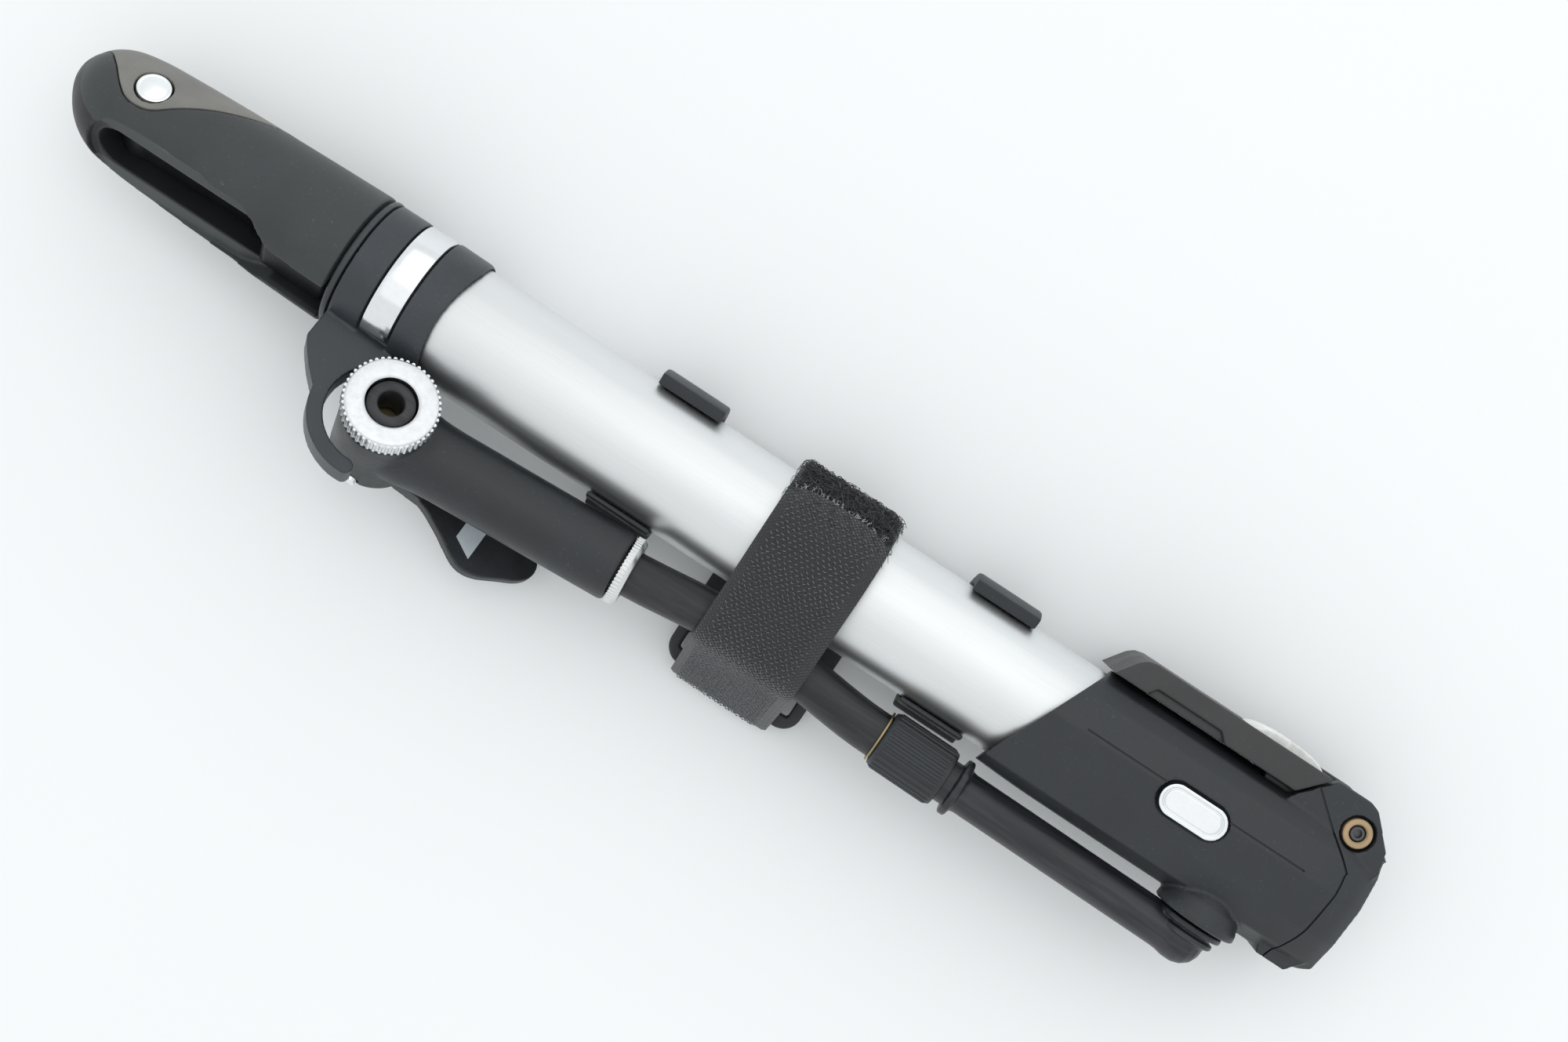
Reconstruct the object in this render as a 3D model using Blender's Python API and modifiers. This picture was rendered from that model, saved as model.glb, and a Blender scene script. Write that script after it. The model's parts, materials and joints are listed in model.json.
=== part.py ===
"""Mini bicycle pump: folding handle, side hose with a lever head, folding foot rest and a frame bracket.

Frame: metres, +X from the handle to the base, +Y towards the foot rest, +Z up. The origin is on the
bracket's resting face, under the barrel's axis. Run: blender --background --python part.py
"""

import math

import bmesh
import bpy
from mathutils import Matrix, Vector

MM = 0.001

# Driving dimensions, in millimetres
AXIS_HEIGHT = 16.1
GAP = 0.3
ROUND_STEPS = 32
SMALL_STEPS = 18

BARREL_RADIUS = 11.3
BARREL_BORE = 10.0
BARREL_START = -71.0
BARREL_END = 88.0
NECK_END = -57.0
NECK_RADIUS = 9.9
NECK_BORE = 8.7

COLLAR_START = -71.5
COLLAR_END = -52.6
COLLAR_RADIUS = 12.2
COLLAR_BORE = 10.3
BAND_START = -65.4
BAND_END = -60.0
BAND_FLOOR = 11.2
BAND_TURN = 45.0

CAP_START = -73.1
HANDLE_END = -73.6
HANDLE_PIN = -116.0
HANDLE_TWIST = 36.0
HANDLE_RADII = (
    (-73.6, 12.4), (-90.0, 11.95), (-105.0, 11.4), (-115.0, 10.85), (-120.0, 10.2),
    (-124.0, 9.1), (-127.0, 7.4), (-129.2, 5.2), (-130.7, 2.9), (-131.3, 0.9),
)
NOSE_START = -112.0
NOSE_OFFSET = 1.6
SLOT_HALF = 4.5
SLOT_START = -121.1
SLOT_FLOOR = 4.9
ARM_HALF = 4.1
ARM_EYE = 4.6

ROD_RADIUS = 3.2
ROD_START = -84.0
PISTON_START = 72.0
PISTON_END = 83.0
PISTON_RADIUS = 9.7

BASE_END = 129.6
BASE_BORE = 11.65
CHAMBER_RADIUS = 5.6
SWIVEL = Vector((108.0, -19.4, 5.5))
FOOT_HINGE = Vector((122.1, 12.2, 0.0))
CHEEK_HALF = 9.4
FOOT_SLOT_HALF = 6.5
FOOT_WEB_HALF = 6.1
FOOT_PAD_HALF = 10.0

UNION_FLANGE = 61.7
UNION_MOUTH = 46.8
RING_CENTRE = Vector((-5.0, -18.95, 4.0))
HOSE_RADIUS = 4.1
HOSE_BORE = 2.3
PIPE_RADIUS = 3.8

HEAD_FACE = Vector((-52.5, -15.54, 15.2))
HEAD_TILT = 29.4
HEAD_LEAN = 4.0
HEAD_RADIUS = 7.9
TUBE_DEPTH = 12.4
TUBE_RADIUS = 6.6
NUT_RADIUS = 8.3
NUT_FLUTES = 24
LEVER_DEPTH = 19.7

BRACKET_CENTRE = 20.2
BOLT_SPACING = 64.0
CLIP_WIDTH = 12.6
CLIP_INNER = 11.6
CLIP_OUTER = 14.0
CLIP_THIN = 12.5
CLIP_TIP = 22
PLATE_HALF = 10.7
PLATE_THICK = 2.9
TAB_LOW = 2.3
TAB_TOP = 4.4
TAB_EDGE = -29.5
BAR_WIDTH = 2.6
HOOK_RADIUS = 2.7
STRAP_WIDTH = 20.2
STRAP_THICK = 1.3

COLOURS = {
    "charcoal": ((0.065, 0.070, 0.074), 0.62, 0.0),
    "taupe": ((0.17, 0.16, 0.145), 0.6, 0.0),
    "black": ((0.028, 0.030, 0.032), 0.5, 0.0),
    "aluminium": ((0.78, 0.79, 0.80), 0.32, 1.0),
    "chrome": ((0.86, 0.87, 0.88), 0.12, 1.0),
    "brass": ((0.70, 0.52, 0.25), 0.3, 1.0),
    "bronze": ((0.50, 0.37, 0.23), 0.5, 0.4),
    "steel": ((0.45, 0.45, 0.46), 0.35, 1.0),
    "rubber": ((0.06, 0.06, 0.062), 0.7, 0.0),
    "cream": ((0.72, 0.70, 0.62), 0.65, 0.0),
    "white": ((0.85, 0.85, 0.83), 0.4, 0.0),
    "webbing": ((0.05, 0.052, 0.06), 0.9, 0.0),
}


# Scene, materials and small helpers

def clear_scene():
    for obj in list(bpy.data.objects):
        bpy.data.objects.remove(obj, do_unlink=True)


def collection(name, hidden=False):
    made = bpy.data.collections.new(name)
    bpy.context.scene.collection.children.link(made)
    made.hide_render = hidden
    return made


def material_for(name, colour):
    base, roughness, metallic = COLOURS[colour]
    made = bpy.data.materials.new(name)
    made.use_nodes = True
    shader = made.node_tree.nodes["Principled BSDF"]
    shader.inputs["Base Color"].default_value = (*base, 1.0)
    shader.inputs["Roughness"].default_value = roughness
    shader.inputs["Metallic"].default_value = metallic
    return made


def add_mesh(name, mesh, colour=None, frame=None, smooth=True):
    """An object in the parts' collection, or a cutter where it has no colour. Frame is its matrix."""
    obj = bpy.data.objects.new(name, mesh)
    if colour is None:
        CUTTERS.objects.link(obj)
        obj.hide_render = True
        obj.display_type = "WIRE"
    else:
        PARTS.objects.link(obj)
        mesh.materials.clear()
        mesh.materials.append(material_for(name, colour))
    if smooth:
        mesh.shade_smooth()
        mesh.set_sharp_from_angle(angle=math.radians(32))
    obj.matrix_world = frame if frame is not None else BARREL_FRAME
    return obj


def mesh_of(bm, name):
    bmesh.ops.recalc_face_normals(bm, faces=bm.faces)
    mesh = bpy.data.meshes.new(name)
    bm.to_mesh(mesh)
    bm.free()
    return mesh


def frame_at(origin, x_axis, z_axis):
    """A matrix whose local z is z_axis and whose local x is the nearest direction to x_axis."""
    z = Vector(z_axis).normalized()
    x = Vector(x_axis)
    x = (x - x.dot(z) * z).normalized()
    y = z.cross(x)
    turned = Matrix((x, y, z)).transposed().to_4x4()
    return Matrix.Translation(Vector(origin) * MM) @ turned


def along(origin, direction):
    """A frame for a turned piece: its local z runs along direction."""
    direction = Vector(direction)
    side = (0, 0, 1) if abs(direction.normalized().z) < 0.8 else (1, 0, 0)
    return frame_at(origin, side, direction)


def applied(obj):
    """The object's modifiers made real, so that it can be cut or joined again cheaply."""
    graph = bpy.context.evaluated_depsgraph_get()
    graph.update()
    mesh = bpy.data.meshes.new_from_object(obj.evaluated_get(graph))
    obj.modifiers.clear()
    obj.data = mesh
    return obj


def boolean(obj, other, operation):
    modifier = obj.modifiers.new(operation.lower(), "BOOLEAN")
    modifier.operation = operation
    modifier.solver = "EXACT"
    modifier.object = other
    return obj


def cut(obj, *others):
    for other in others:
        boolean(obj, other, "DIFFERENCE")
    return obj


def join(obj, *others):
    for other in others:
        boolean(obj, other, "UNION")
    return obj


def bevelled(obj, width, segments=1, angle=35):
    modifier = obj.modifiers.new("edges", "BEVEL")
    modifier.width = width * MM
    modifier.segments = segments
    modifier.limit_method = "ANGLE"
    modifier.angle_limit = math.radians(angle)
    modifier.use_clamp_overlap = True
    return obj


# Shapes

def turned(name, profile, colour=None, frame=None, steps=ROUND_STEPS):
    """A turned piece from (place along the axis, radius) points: a ring where no point is on the axis."""
    points = [Vector((radius, place)) for place, radius in profile]
    area = sum(a.x * b.y - b.x * a.y for a, b in zip(points, points[1:] + points[:1]))
    if area > 0:
        points.reverse()
    ring = all(point.x > 0 for point in points)
    if not ring:
        first = max((i for i, p in enumerate(points) if p.x == 0), key=lambda i: points[i].y)
        points = points[first:] + points[:first]
    bm = bmesh.new()
    vertices = [bm.verts.new((p.x * MM, 0.0, p.y * MM)) for p in points]
    for a, b in zip(vertices, vertices[1:] + vertices[:1] if ring else vertices[1:]):
        bm.edges.new((a, b))
    mesh = bpy.data.meshes.new(name)
    bm.to_mesh(mesh)
    bm.free()
    obj = add_mesh(name, mesh, colour, frame, smooth=False)
    screw = obj.modifiers.new("turn", "SCREW")
    screw.axis = "Z"
    screw.steps = screw.render_steps = steps
    screw.use_merge_vertices = True
    screw.merge_threshold = 0.00001
    applied(obj)
    obj.data.shade_smooth()
    obj.data.set_sharp_from_angle(angle=math.radians(32))
    return obj


def ring_profile(start, end, inner, outer, edge=0.0):
    """A plain ring's profile, with its outer edges chamfered."""
    if not edge:
        return [(start, inner), (start, outer), (end, outer), (end, inner)]
    return [
        (start, inner), (start, outer - edge), (start + edge, outer),
        (end - edge, outer), (end, outer - edge), (end, inner),
    ]


def disc_profile(start, end, radius, edge=0.0):
    if not edge:
        return [(start, 0), (start, radius), (end, radius), (end, 0)]
    return [(start, 0), (start, radius - edge), (start + edge, radius),
            (end - edge, radius), (end, radius - edge), (end, 0)]


def prism(name, outline, low, high, colour=None, frame=None):
    """A flat outline in the frame's x and y, as a filled curve extruded from low to high along z."""
    curve = bpy.data.curves.new(name, "CURVE")
    curve.dimensions = "2D"
    curve.fill_mode = "BOTH"
    curve.extrude = (high - low) / 2 * MM
    spline = curve.splines.new("POLY")
    spline.points.add(len(outline) - 1)
    for point, (x, y) in zip(spline.points, outline):
        point.co = (x * MM, y * MM, 0.0, 1.0)
    spline.use_cyclic_u = True
    holder = bpy.data.objects.new(name + "_curve", curve)
    CUTTERS.objects.link(holder)
    bpy.context.view_layer.update()
    graph = bpy.context.evaluated_depsgraph_get()
    mesh = bpy.data.meshes.new_from_object(holder.evaluated_get(graph))
    bpy.data.objects.remove(holder, do_unlink=True)
    bm = bmesh.new()
    bm.from_mesh(mesh)
    bmesh.ops.remove_doubles(bm, verts=bm.verts, dist=1e-6)
    bmesh.ops.dissolve_limit(bm, angle_limit=0.001, verts=bm.verts, edges=bm.edges)
    bmesh.ops.translate(bm, verts=bm.verts, vec=(0, 0, (low + high) / 2 * MM))
    bmesh.ops.recalc_face_normals(bm, faces=bm.faces)
    bm.to_mesh(mesh)
    bm.free()
    return add_mesh(name, mesh, colour, frame)


def block(name, low, high, colour=None, frame=None):
    bm = bmesh.new()
    bmesh.ops.create_cube(bm, size=1.0)
    size = Vector(high) - Vector(low)
    middle = (Vector(high) + Vector(low)) / 2
    bmesh.ops.scale(bm, verts=bm.verts, vec=size * MM)
    bmesh.ops.translate(bm, verts=bm.verts, vec=middle * MM)
    return add_mesh(name, mesh_of(bm, name), colour, frame)


def rod(name, start, end, radius, colour=None, frame=None, steps=SMALL_STEPS):
    """A plain cylinder between two points of the frame."""
    start, end = Vector(start), Vector(end)
    bm = bmesh.new()
    bmesh.ops.create_cone(
        bm, cap_ends=True, segments=steps, radius1=radius * MM, radius2=radius * MM,
        depth=(end - start).length * MM,
    )
    turn = (end - start).to_track_quat("Z", "Y").to_matrix().to_4x4()
    bmesh.ops.transform(bm, verts=bm.verts, matrix=Matrix.Translation((start + end) / 2 * MM) @ turn)
    return add_mesh(name, mesh_of(bm, name), colour, frame)


def loft(name, rings, colour=None, frame=None):
    """A closed skin through rings that all have the same number of points."""
    bm = bmesh.new()
    rows = [[bm.verts.new(Vector(point) * MM) for point in ring] for ring in rings]
    count = len(rows[0])
    for row, after in zip(rows, rows[1:]):
        for i in range(count):
            j = (i + 1) % count
            bm.faces.new((row[i], row[j], after[j], after[i]))
    bm.faces.new(rows[0])
    bm.faces.new(rows[-1])
    return add_mesh(name, mesh_of(bm, name), colour, frame)


def arc(centre, radius, start, end, count):
    """Points on an arc, in degrees, both ends included."""
    angles = [math.radians(start + (end - start) * i / count) for i in range(count + 1)]
    return [(centre[0] + radius * math.cos(a), centre[1] + radius * math.sin(a)) for a in angles]


def ribbon(path, thickness):
    """The outline of a strip of even thickness along a path of (y, z) points."""
    left, right = [], []
    for i, point in enumerate(path):
        before = Vector(path[max(i - 1, 0)])
        after = Vector(path[min(i + 1, len(path) - 1)])
        run = (after - before).normalized()
        side = Vector((-run.y, run.x)) * thickness / 2
        left.append(tuple(Vector(point) + side))
        right.append(tuple(Vector(point) - side))
    return left + right[::-1]


# Barrel, collar and rod guide

def build_barrel():
    turned("barrel", [
        (BARREL_START, NECK_BORE), (BARREL_START, NECK_RADIUS), (NECK_END, NECK_RADIUS),
        (NECK_END + 1.4, BARREL_RADIUS), (BARREL_END, BARREL_RADIUS), (BARREL_END, BARREL_BORE),
        (NECK_END + 1.8, BARREL_BORE), (NECK_END + 0.5, NECK_BORE),
    ], "aluminium", AXIS_X)


def cradle_arm():
    """The collar's arm: a plate square to the head's axis, ending in an open C round the head."""
    centre = (-0.8, -1.6)
    outer, inner = 12.0, 9.2
    outline = [(-20.1, 10.2), (-20.1, 6.2)]
    outline += arc(centre, outer, 199, 274, 12)
    outline += arc((centre[0] + 0.55, centre[1] - (outer + inner) / 2), (outer - inner) / 2, -85, 85, 4)
    outline += arc(centre, inner, 274, 118, 22)
    outline += [(-5.6, 10.2)]
    arm = prism("cradle_arm", outline, -9.2, -4.6, None, HEAD_FRAME)
    return bevelled(arm, 0.5, 2, 50)


def build_collar():
    collar = turned("head_cradle_collar", [
        (COLLAR_START, COLLAR_BORE), (COLLAR_START, COLLAR_RADIUS + 0.05), (BAND_START - GAP, COLLAR_RADIUS),
        (BAND_START - GAP, BAND_FLOOR), (BAND_END + GAP, BAND_FLOOR), (BAND_END + GAP, COLLAR_RADIUS),
        (COLLAR_END - 0.7, COLLAR_RADIUS - 0.1), (COLLAR_END - 0.2, COLLAR_RADIUS - 0.35),
        (COLLAR_END, BARREL_RADIUS + GAP), (NECK_END + 1.0, BARREL_RADIUS + GAP),
        (NECK_END - 0.3, COLLAR_BORE),
    ], "black", AXIS_X, 40)
    groove_fill = turned("groove_fill", ring_profile(
        BAND_START - 1.0, BAND_END + 1.0, BAND_FLOOR - 0.4, COLLAR_RADIUS - 0.02), None, AXIS_X, 40)
    side = block("groove_fill_side", (BAND_START - 3, -20, -20), (BAND_END + 3, -9.9, 12))
    boolean(groove_fill, side, "INTERSECT")
    applied(groove_fill)
    scallop = rod("collar_scallop", (-14.2, -1, 2), (-14.2, -1, 30), 40.0, None, None, 72)
    join(collar, groove_fill)
    applied(collar)
    join(collar, applied(cradle_arm()))
    past_end = block("past_collar_end", (COLLAR_START - 9, -40, -40), (COLLAR_START, 40, 40))
    cut(applied(collar), scallop, past_end)
    band = turned("collar_band", ring_profile(
        BAND_START, BAND_END, BAND_FLOOR + 0.3, COLLAR_RADIUS + 0.02), "chrome", AXIS_X, 40)
    opening = block("band_opening", (BAND_START - 2, -16, -16), (BAND_END + 2, -8.6, 8.8))
    cut(band, opening)


def build_rod_guide():
    turned("rod_guide_cap", [
        (CAP_START, 6.7), (CAP_START, 11.9), (CAP_START + 0.4, 12.35), (COLLAR_START - GAP - 0.3, 12.35),
        (COLLAR_START - GAP, 12.1), (COLLAR_START - GAP, 8.3), (-60.0, 8.3), (-60.0, 6.7),
        (-70.4, 6.7), (-70.4, 4.6), (-71.2, 4.6), (-71.2, 6.7),
    ], "black", AXIS_X, ROUND_STEPS)
    turned("rod_wiper", ring_profile(CAP_START + 0.1, -71.5, ROD_RADIUS + GAP, 6.4, 0.3),
           "rubber", AXIS_X, SMALL_STEPS)
    turned("rod_bush", ring_profile(-70.1, -60.4, ROD_RADIUS + GAP, 6.4, 0.3),
           "white", AXIS_X, SMALL_STEPS)


# Rod, piston and handle

def build_rod():
    turned("piston_rod", disc_profile(ROD_START, PISTON_START + 5.0, ROD_RADIUS, 0.4),
           "aluminium", AXIS_X, SMALL_STEPS)
    turned("piston", [
        (PISTON_START, ROD_RADIUS + GAP), (PISTON_START, PISTON_RADIUS - 0.6), (PISTON_START + 0.6, PISTON_RADIUS),
        (PISTON_START + 3.0, PISTON_RADIUS), (PISTON_START + 3.0, 8.0), (PISTON_START + 6.2, 8.0),
        (PISTON_START + 6.2, PISTON_RADIUS), (PISTON_END - 0.6, PISTON_RADIUS), (PISTON_END, PISTON_RADIUS - 0.6),
        (PISTON_END, 3.9), (PISTON_END - 3.2, 3.9), (PISTON_END - 3.2, 1.9), (PISTON_START + 5.4, 1.9),
        (PISTON_START + 5.4, ROD_RADIUS + GAP),
    ], "white", AXIS_X, 24)
    turned("piston_seal", [
        (PISTON_START + 3.4, 8.4), (PISTON_START + 3.4, 9.4), (PISTON_START + 3.9, 9.75),
        (PISTON_START + 5.3, 9.75), (PISTON_START + 5.8, 9.4), (PISTON_START + 5.8, 8.4),
    ], "rubber", AXIS_X, 24)
    turned("piston_screw", [
        (PISTON_START + 5.6, 0), (PISTON_START + 5.6, 1.6), (PISTON_END - 2.9, 1.6),
        (PISTON_END - 2.9, 3.5), (PISTON_END - 0.6, 3.5), (PISTON_END - 0.3, 3.2), (PISTON_END - 0.3, 0),
    ], "steel", AXIS_X, 16)


def build_rod_arm():
    """A flat arm in the handle's slot: an eye round the pin, a thin web and a block round the rod's end."""
    pin = HANDLE_PIN
    outline = arc((0, 0), ARM_EYE, 60, 300, 16)
    outline += [(26.5, -3.2), (28.4, -7.9), (29.4, -8.6), (40.9, -8.6), (41.7, -7.8)]
    outline += [(41.7, 3.9), (41.1, 4.5), (5.0, 4.3)]
    arm = prism("rod_end_arm", outline, -ARM_HALF, ARM_HALF, "black", HANDLE_FRAME)
    eye = rod("eye_bore", (0, 0, -20), (0, 0, 20), 2.1 + GAP, None, HANDLE_FRAME)
    socket = rod("rod_socket", (ROD_START - pin - GAP, 0, 0), (60, 0, 0), ROD_RADIUS + GAP, None, HANDLE_FRAME)
    cross = rod("cross_bore", (36, 0, -20), (36, 0, 20), 1.3, None, HANDLE_FRAME, 16)
    cut(arm, eye, socket, cross)
    rod("arm_cross_pin", (36, 0, -ARM_HALF + 0.1), (36, 0, -ROD_RADIUS - GAP), 1.0, "steel", HANDLE_FRAME, 12)


def handle_rings(inset=0.0, steps=32):
    """The handle's rings, round at the collar and leaning away from the slot at the nose."""
    rings = []
    for place, radius in HANDLE_RADII:
        x = place - HANDLE_PIN
        lean = 0.0
        if place < NOSE_START:
            lean = NOSE_OFFSET * ((NOSE_START - place) / (NOSE_START - HANDLE_RADII[-1][0])) ** 2
        size = max(radius - inset, 0.3)
        if inset:
            x = max(x, HANDLE_RADII[-1][0] - HANDLE_PIN + inset * 1.4) + 0.02 * len(rings) * 0
        ring = []
        for i in range(steps):
            angle = 2 * math.pi * (i + 0.5) / steps
            ring.append((x, size * math.cos(angle) + lean, size * math.sin(angle)))
        rings.append(ring)
    return rings


def accent_outline(grow=0.0):
    """The accent's edge, seen along the pin: it dips round the pin's head and sweeps up towards the collar."""
    edge = [(-16.5, 3.4), (-12.0, 4.2), (-8.6, 1.4), (-5.4, -2.0), (-2.8, -3.9), (0.0, -4.3), (2.6, -3.6),
            (5.6, -1.2), (9.5, 1.8), (14.0, 4.8), (19.0, 8.0), (23.5, 10.6), (25.5, 12.6)]
    return [(x, y - grow) for x, y in edge] + [(25.5 + grow, 16), (-18, 16), (-18, 3.2 - grow)]


def accent_skin(name, inset, grow, colour=None):
    """A skin of the handle as thick as inset, inside the accent's edge."""
    skin = loft(name, handle_rings(0.0 if colour else -0.6), colour, HANDLE_FRAME)
    core = loft(name + "_core", inner_handle(inset), None, HANDLE_FRAME)
    petal = prism(name + "_petal", accent_outline(grow), -20, 20, None, HANDLE_FRAME)
    cut(skin, core)
    boolean(skin, petal, "INTERSECT")
    return applied(skin)


def inner_handle(inset, steps=32):
    """The handle's rings set in by a wall, with the nose pulled back by the same wall."""
    rings = []
    for ring in handle_rings(0.0, steps):
        middle = Vector((ring[0][0], sum(p[1] for p in ring) / steps, 0.0))
        radius = (Vector(ring[0]) - middle).length
        scale = max(radius - inset, 0.25) / radius
        x = ring[0][0] + inset * 0.9 * max(0.0, 1 - radius / 11.0)
        rings.append([(x, middle.y + (p[1] - middle.y) * scale, p[2] * scale) for p in ring])
    rings.insert(0, [(p[0] + 2.0, p[1], p[2]) for p in rings[0]])
    return rings


def build_handle():
    shell = loft("handle_shell", handle_rings(), "charcoal", HANDLE_FRAME)
    pin = HANDLE_PIN
    slot = block("handle_slot", (SLOT_START - pin, -20, -SLOT_HALF), (60, SLOT_FLOOR, SLOT_HALF), None, HANDLE_FRAME)
    rod_room = rod("rod_room", (24, 0, 0), (60, 0, 0), 6.2, None, HANDLE_FRAME)
    edge = [(-4.4, 5.6), (-2.0, 7.2), (1.5, 7.95), (23.4, 7.95), (26.0, 7.3), (29.0, 5.8), (33.0, 3.6)]
    window_outline = [(-5.0, -3), (-5.0, 3)] + edge + [(x, -z) for x, z in reversed(edge)]
    window_frame = HANDLE_FRAME @ Matrix.Rotation(math.radians(90), 4, "X")
    window = prism("handle_window", [(x, z) for x, z in window_outline], 7.6, 20, None, window_frame)
    relief = block("end_relief", (36, -16, -16), (50, 0, 16), None, HANDLE_FRAME)
    swing = rod("end_swing", (0, 0, -30), (0, 0, 30), HANDLE_END - pin - 0.15, None, HANDLE_FRAME, 96)
    cut(relief, swing)
    applied(relief)
    recess = accent_skin("accent_recess", 1.3, 0.3)
    pin_bore = rod("pin_bore", (0, 0, -20), (0, 0, 20), 2.1 + GAP, None, HANDLE_FRAME)
    pin_seat = rod("pin_seat", (0, 0, 8.0), (0, 0, 20), 3.3, None, HANDLE_FRAME)
    pin_seat_far = rod("pin_seat_far", (0, 0, -20), (0, 0, -8.0), 3.3, None, HANDLE_FRAME)
    cut(shell, recess)
    applied(shell)
    cut(shell, slot, rod_room, window, relief, pin_bore, pin_seat, pin_seat_far)
    accent = accent_skin("handle_accent", 1.0, 0.0, "taupe")
    cut(accent, pin_seat, pin_seat_far)
    applied(accent)
    turned("handle_pin", [
        (-8.2, 0), (-8.2, 2.1), (8.3, 2.1), (8.3, 3.0), (10.1, 3.0), (10.5, 2.5), (10.6, 0),
    ], "chrome", HANDLE_FRAME, SMALL_STEPS)
    turned("handle_pin_cap", [
        (-8.5, 0), (-8.5, 3.0), (-10.1, 3.0), (-10.5, 2.5), (-10.6, 0),
    ], "chrome", HANDLE_FRAME, SMALL_STEPS)


# Base, valve and foot

def base_section(x, top, side, foot_side, bottom):
    """Corners of the housing's section: a low crest, sloping shoulders and flat sides."""
    return [
        (x, 1.6, top), (x, 7.4, top - 1.6), (x, 10.4, top - 4.2), (x, foot_side - 0.6, 7.2),
        (x, foot_side, 5.0), (x, foot_side, -5.0), (x, foot_side - 0.6, -7.2), (x, 10.4, -bottom + 4.0),
        (x, 7.0, -bottom + 1.2), (x, 0.0, -bottom), (x, -6.6, -bottom + 0.9), (x, -11.0, 3.8 - bottom),
        (x, 0.6 - side, -5.4), (x, -side, 0.0), (x, 0.6 - side, 5.4), (x, -10.9, top - 4.1),
        (x, -6.0, top - 1.5),
    ]


def build_base():
    stations = [
        (60.0, 12.9, 13.2, 12.0, 12.9), (72.0, 13.4, 13.7, 12.1, 13.4), (90.0, 14.0, 13.8, 12.1, 13.9),
        (112.0, 13.9, 13.8, 12.1, 13.9), (121.0, 13.2, 13.9, 12.1, 13.4), (126.5, 11.6, 13.6, 12.2, 12.0),
        (BASE_END, 9.6, 12.2, 11.2, 10.4),
    ]
    housing = loft("base_housing", [base_section(*station) for station in stations], "black", BARREL_FRAME)
    bevelled(housing, 0.7, 2, 22)
    applied(housing)

    cheeks = prism("hinge_cheeks", [
        (105, 4), (109.7, 12.3), (114.8, 17.9), (121.2, 17.9), (122.9, 17.3), (127.9, 12.1), (128.9, 8), (126, 2),
    ], -CHEEK_HALF, CHEEK_HALF, None, BARREL_FRAME)
    bevelled(cheeks, 0.6, 2)
    skirt = prism("end_skirt", [
        (117.6, -8), (119.6, -14.1), (125.2, -14.1), (127.4, -11.6), (128.6, -6), (120, -4),
    ], -7.0, 7.0, None, BARREL_FRAME)
    boss = turned("swivel_boss", [
        (9.0, 0), (9.0, 4.2), (11.5, 6.4), (14.0, 7.5), (15.0, 7.6), (15.3, 7.3), (15.3, 0),
    ], None, along((SWIVEL.x, 0, SWIVEL.z + AXIS_HEIGHT), (0, -1, 0)), 32)
    for piece in (cheeks, skirt, boss):
        applied(piece)
        join(housing, piece)
        applied(housing)

    front = block("front_cut", (-40, -40, -40), (0, 40, 40), None,
                  BARREL_FRAME @ Matrix.Translation(Vector((68.6, 0, 0)) * MM)
                  @ Matrix.Rotation(math.radians(-24.0), 4, "Z") @ Matrix.Rotation(math.radians(-8.0), 4, "Y"))
    bore = turned("barrel_bore", disc_profile(40, BARREL_END + 0.8, BASE_BORE), None, AXIS_X, 32)
    chamber = turned("valve_chamber", [
        (BARREL_END, 0), (BARREL_END, CHAMBER_RADIUS), (100.0, CHAMBER_RADIUS), (100.0, 3.0), (110.5, 3.0), (110.5, 0),
    ], None, AXIS_X, SMALL_STEPS)
    spigot_bore = rod("spigot_bore", (SWIVEL.x, -30, SWIVEL.z), (SWIVEL.x, 0, SWIVEL.z), 3.4, None, BARREL_FRAME)
    hinge = FOOT_HINGE
    web_slot = block("web_slot", (103.8, 7.3, -FOOT_SLOT_HALF), (hinge.x, 30, FOOT_SLOT_HALF))
    swing_slot = block("swing_slot", (117.0, hinge.y, -FOOT_SLOT_HALF), (127.2, 30, FOOT_SLOT_HALF))
    boss_slot = rod("boss_slot", (hinge.x, hinge.y, -FOOT_SLOT_HALF), (hinge.x, hinge.y, FOOT_SLOT_HALF), 5.2)
    screw_bore = rod("screw_bore", (hinge.x, hinge.y, -20), (hinge.x, hinge.y, 20), 1.6)
    seat = rod("sleeve_seat", (hinge.x, hinge.y, 7.6), (hinge.x, hinge.y, 20), 3.0)
    nut_seat = rod("nut_seat", (hinge.x, hinge.y, -20), (hinge.x, hinge.y, -7.6), 3.0)
    badge_seat = prism("badge_seat", badge_outline(0.4), 12.6, 20, None, BARREL_FRAME)
    cut(housing, front, bore)
    applied(housing)
    cut(housing, chamber, spigot_bore, web_slot, swing_slot, boss_slot)
    applied(housing)
    cut(housing, screw_bore, seat, nut_seat, badge_seat)
    badge = prism("base_badge", badge_outline(0.0), 12.9, 14.6, "chrome", BARREL_FRAME)
    bevelled(badge, 0.45, 2, 50)


def badge_outline(grow):
    """A plain lozenge with round ends, along the crest."""
    centre_x, half_length, radius = 96.0, 3.4, 2.9 + grow
    right = arc((centre_x + half_length, 0.4), radius, -90, 90, 12)
    left = arc((centre_x - half_length, 0.4), radius, 90, 270, 12)
    return right + left


def spring_points(start, end, radius, turns, count):
    points = []
    for i in range(count * turns + 1):
        angle = 2 * math.pi * i / count
        points.append((start + (end - start) * i / (count * turns), radius * math.cos(angle), radius * math.sin(angle)))
    return points


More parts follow.
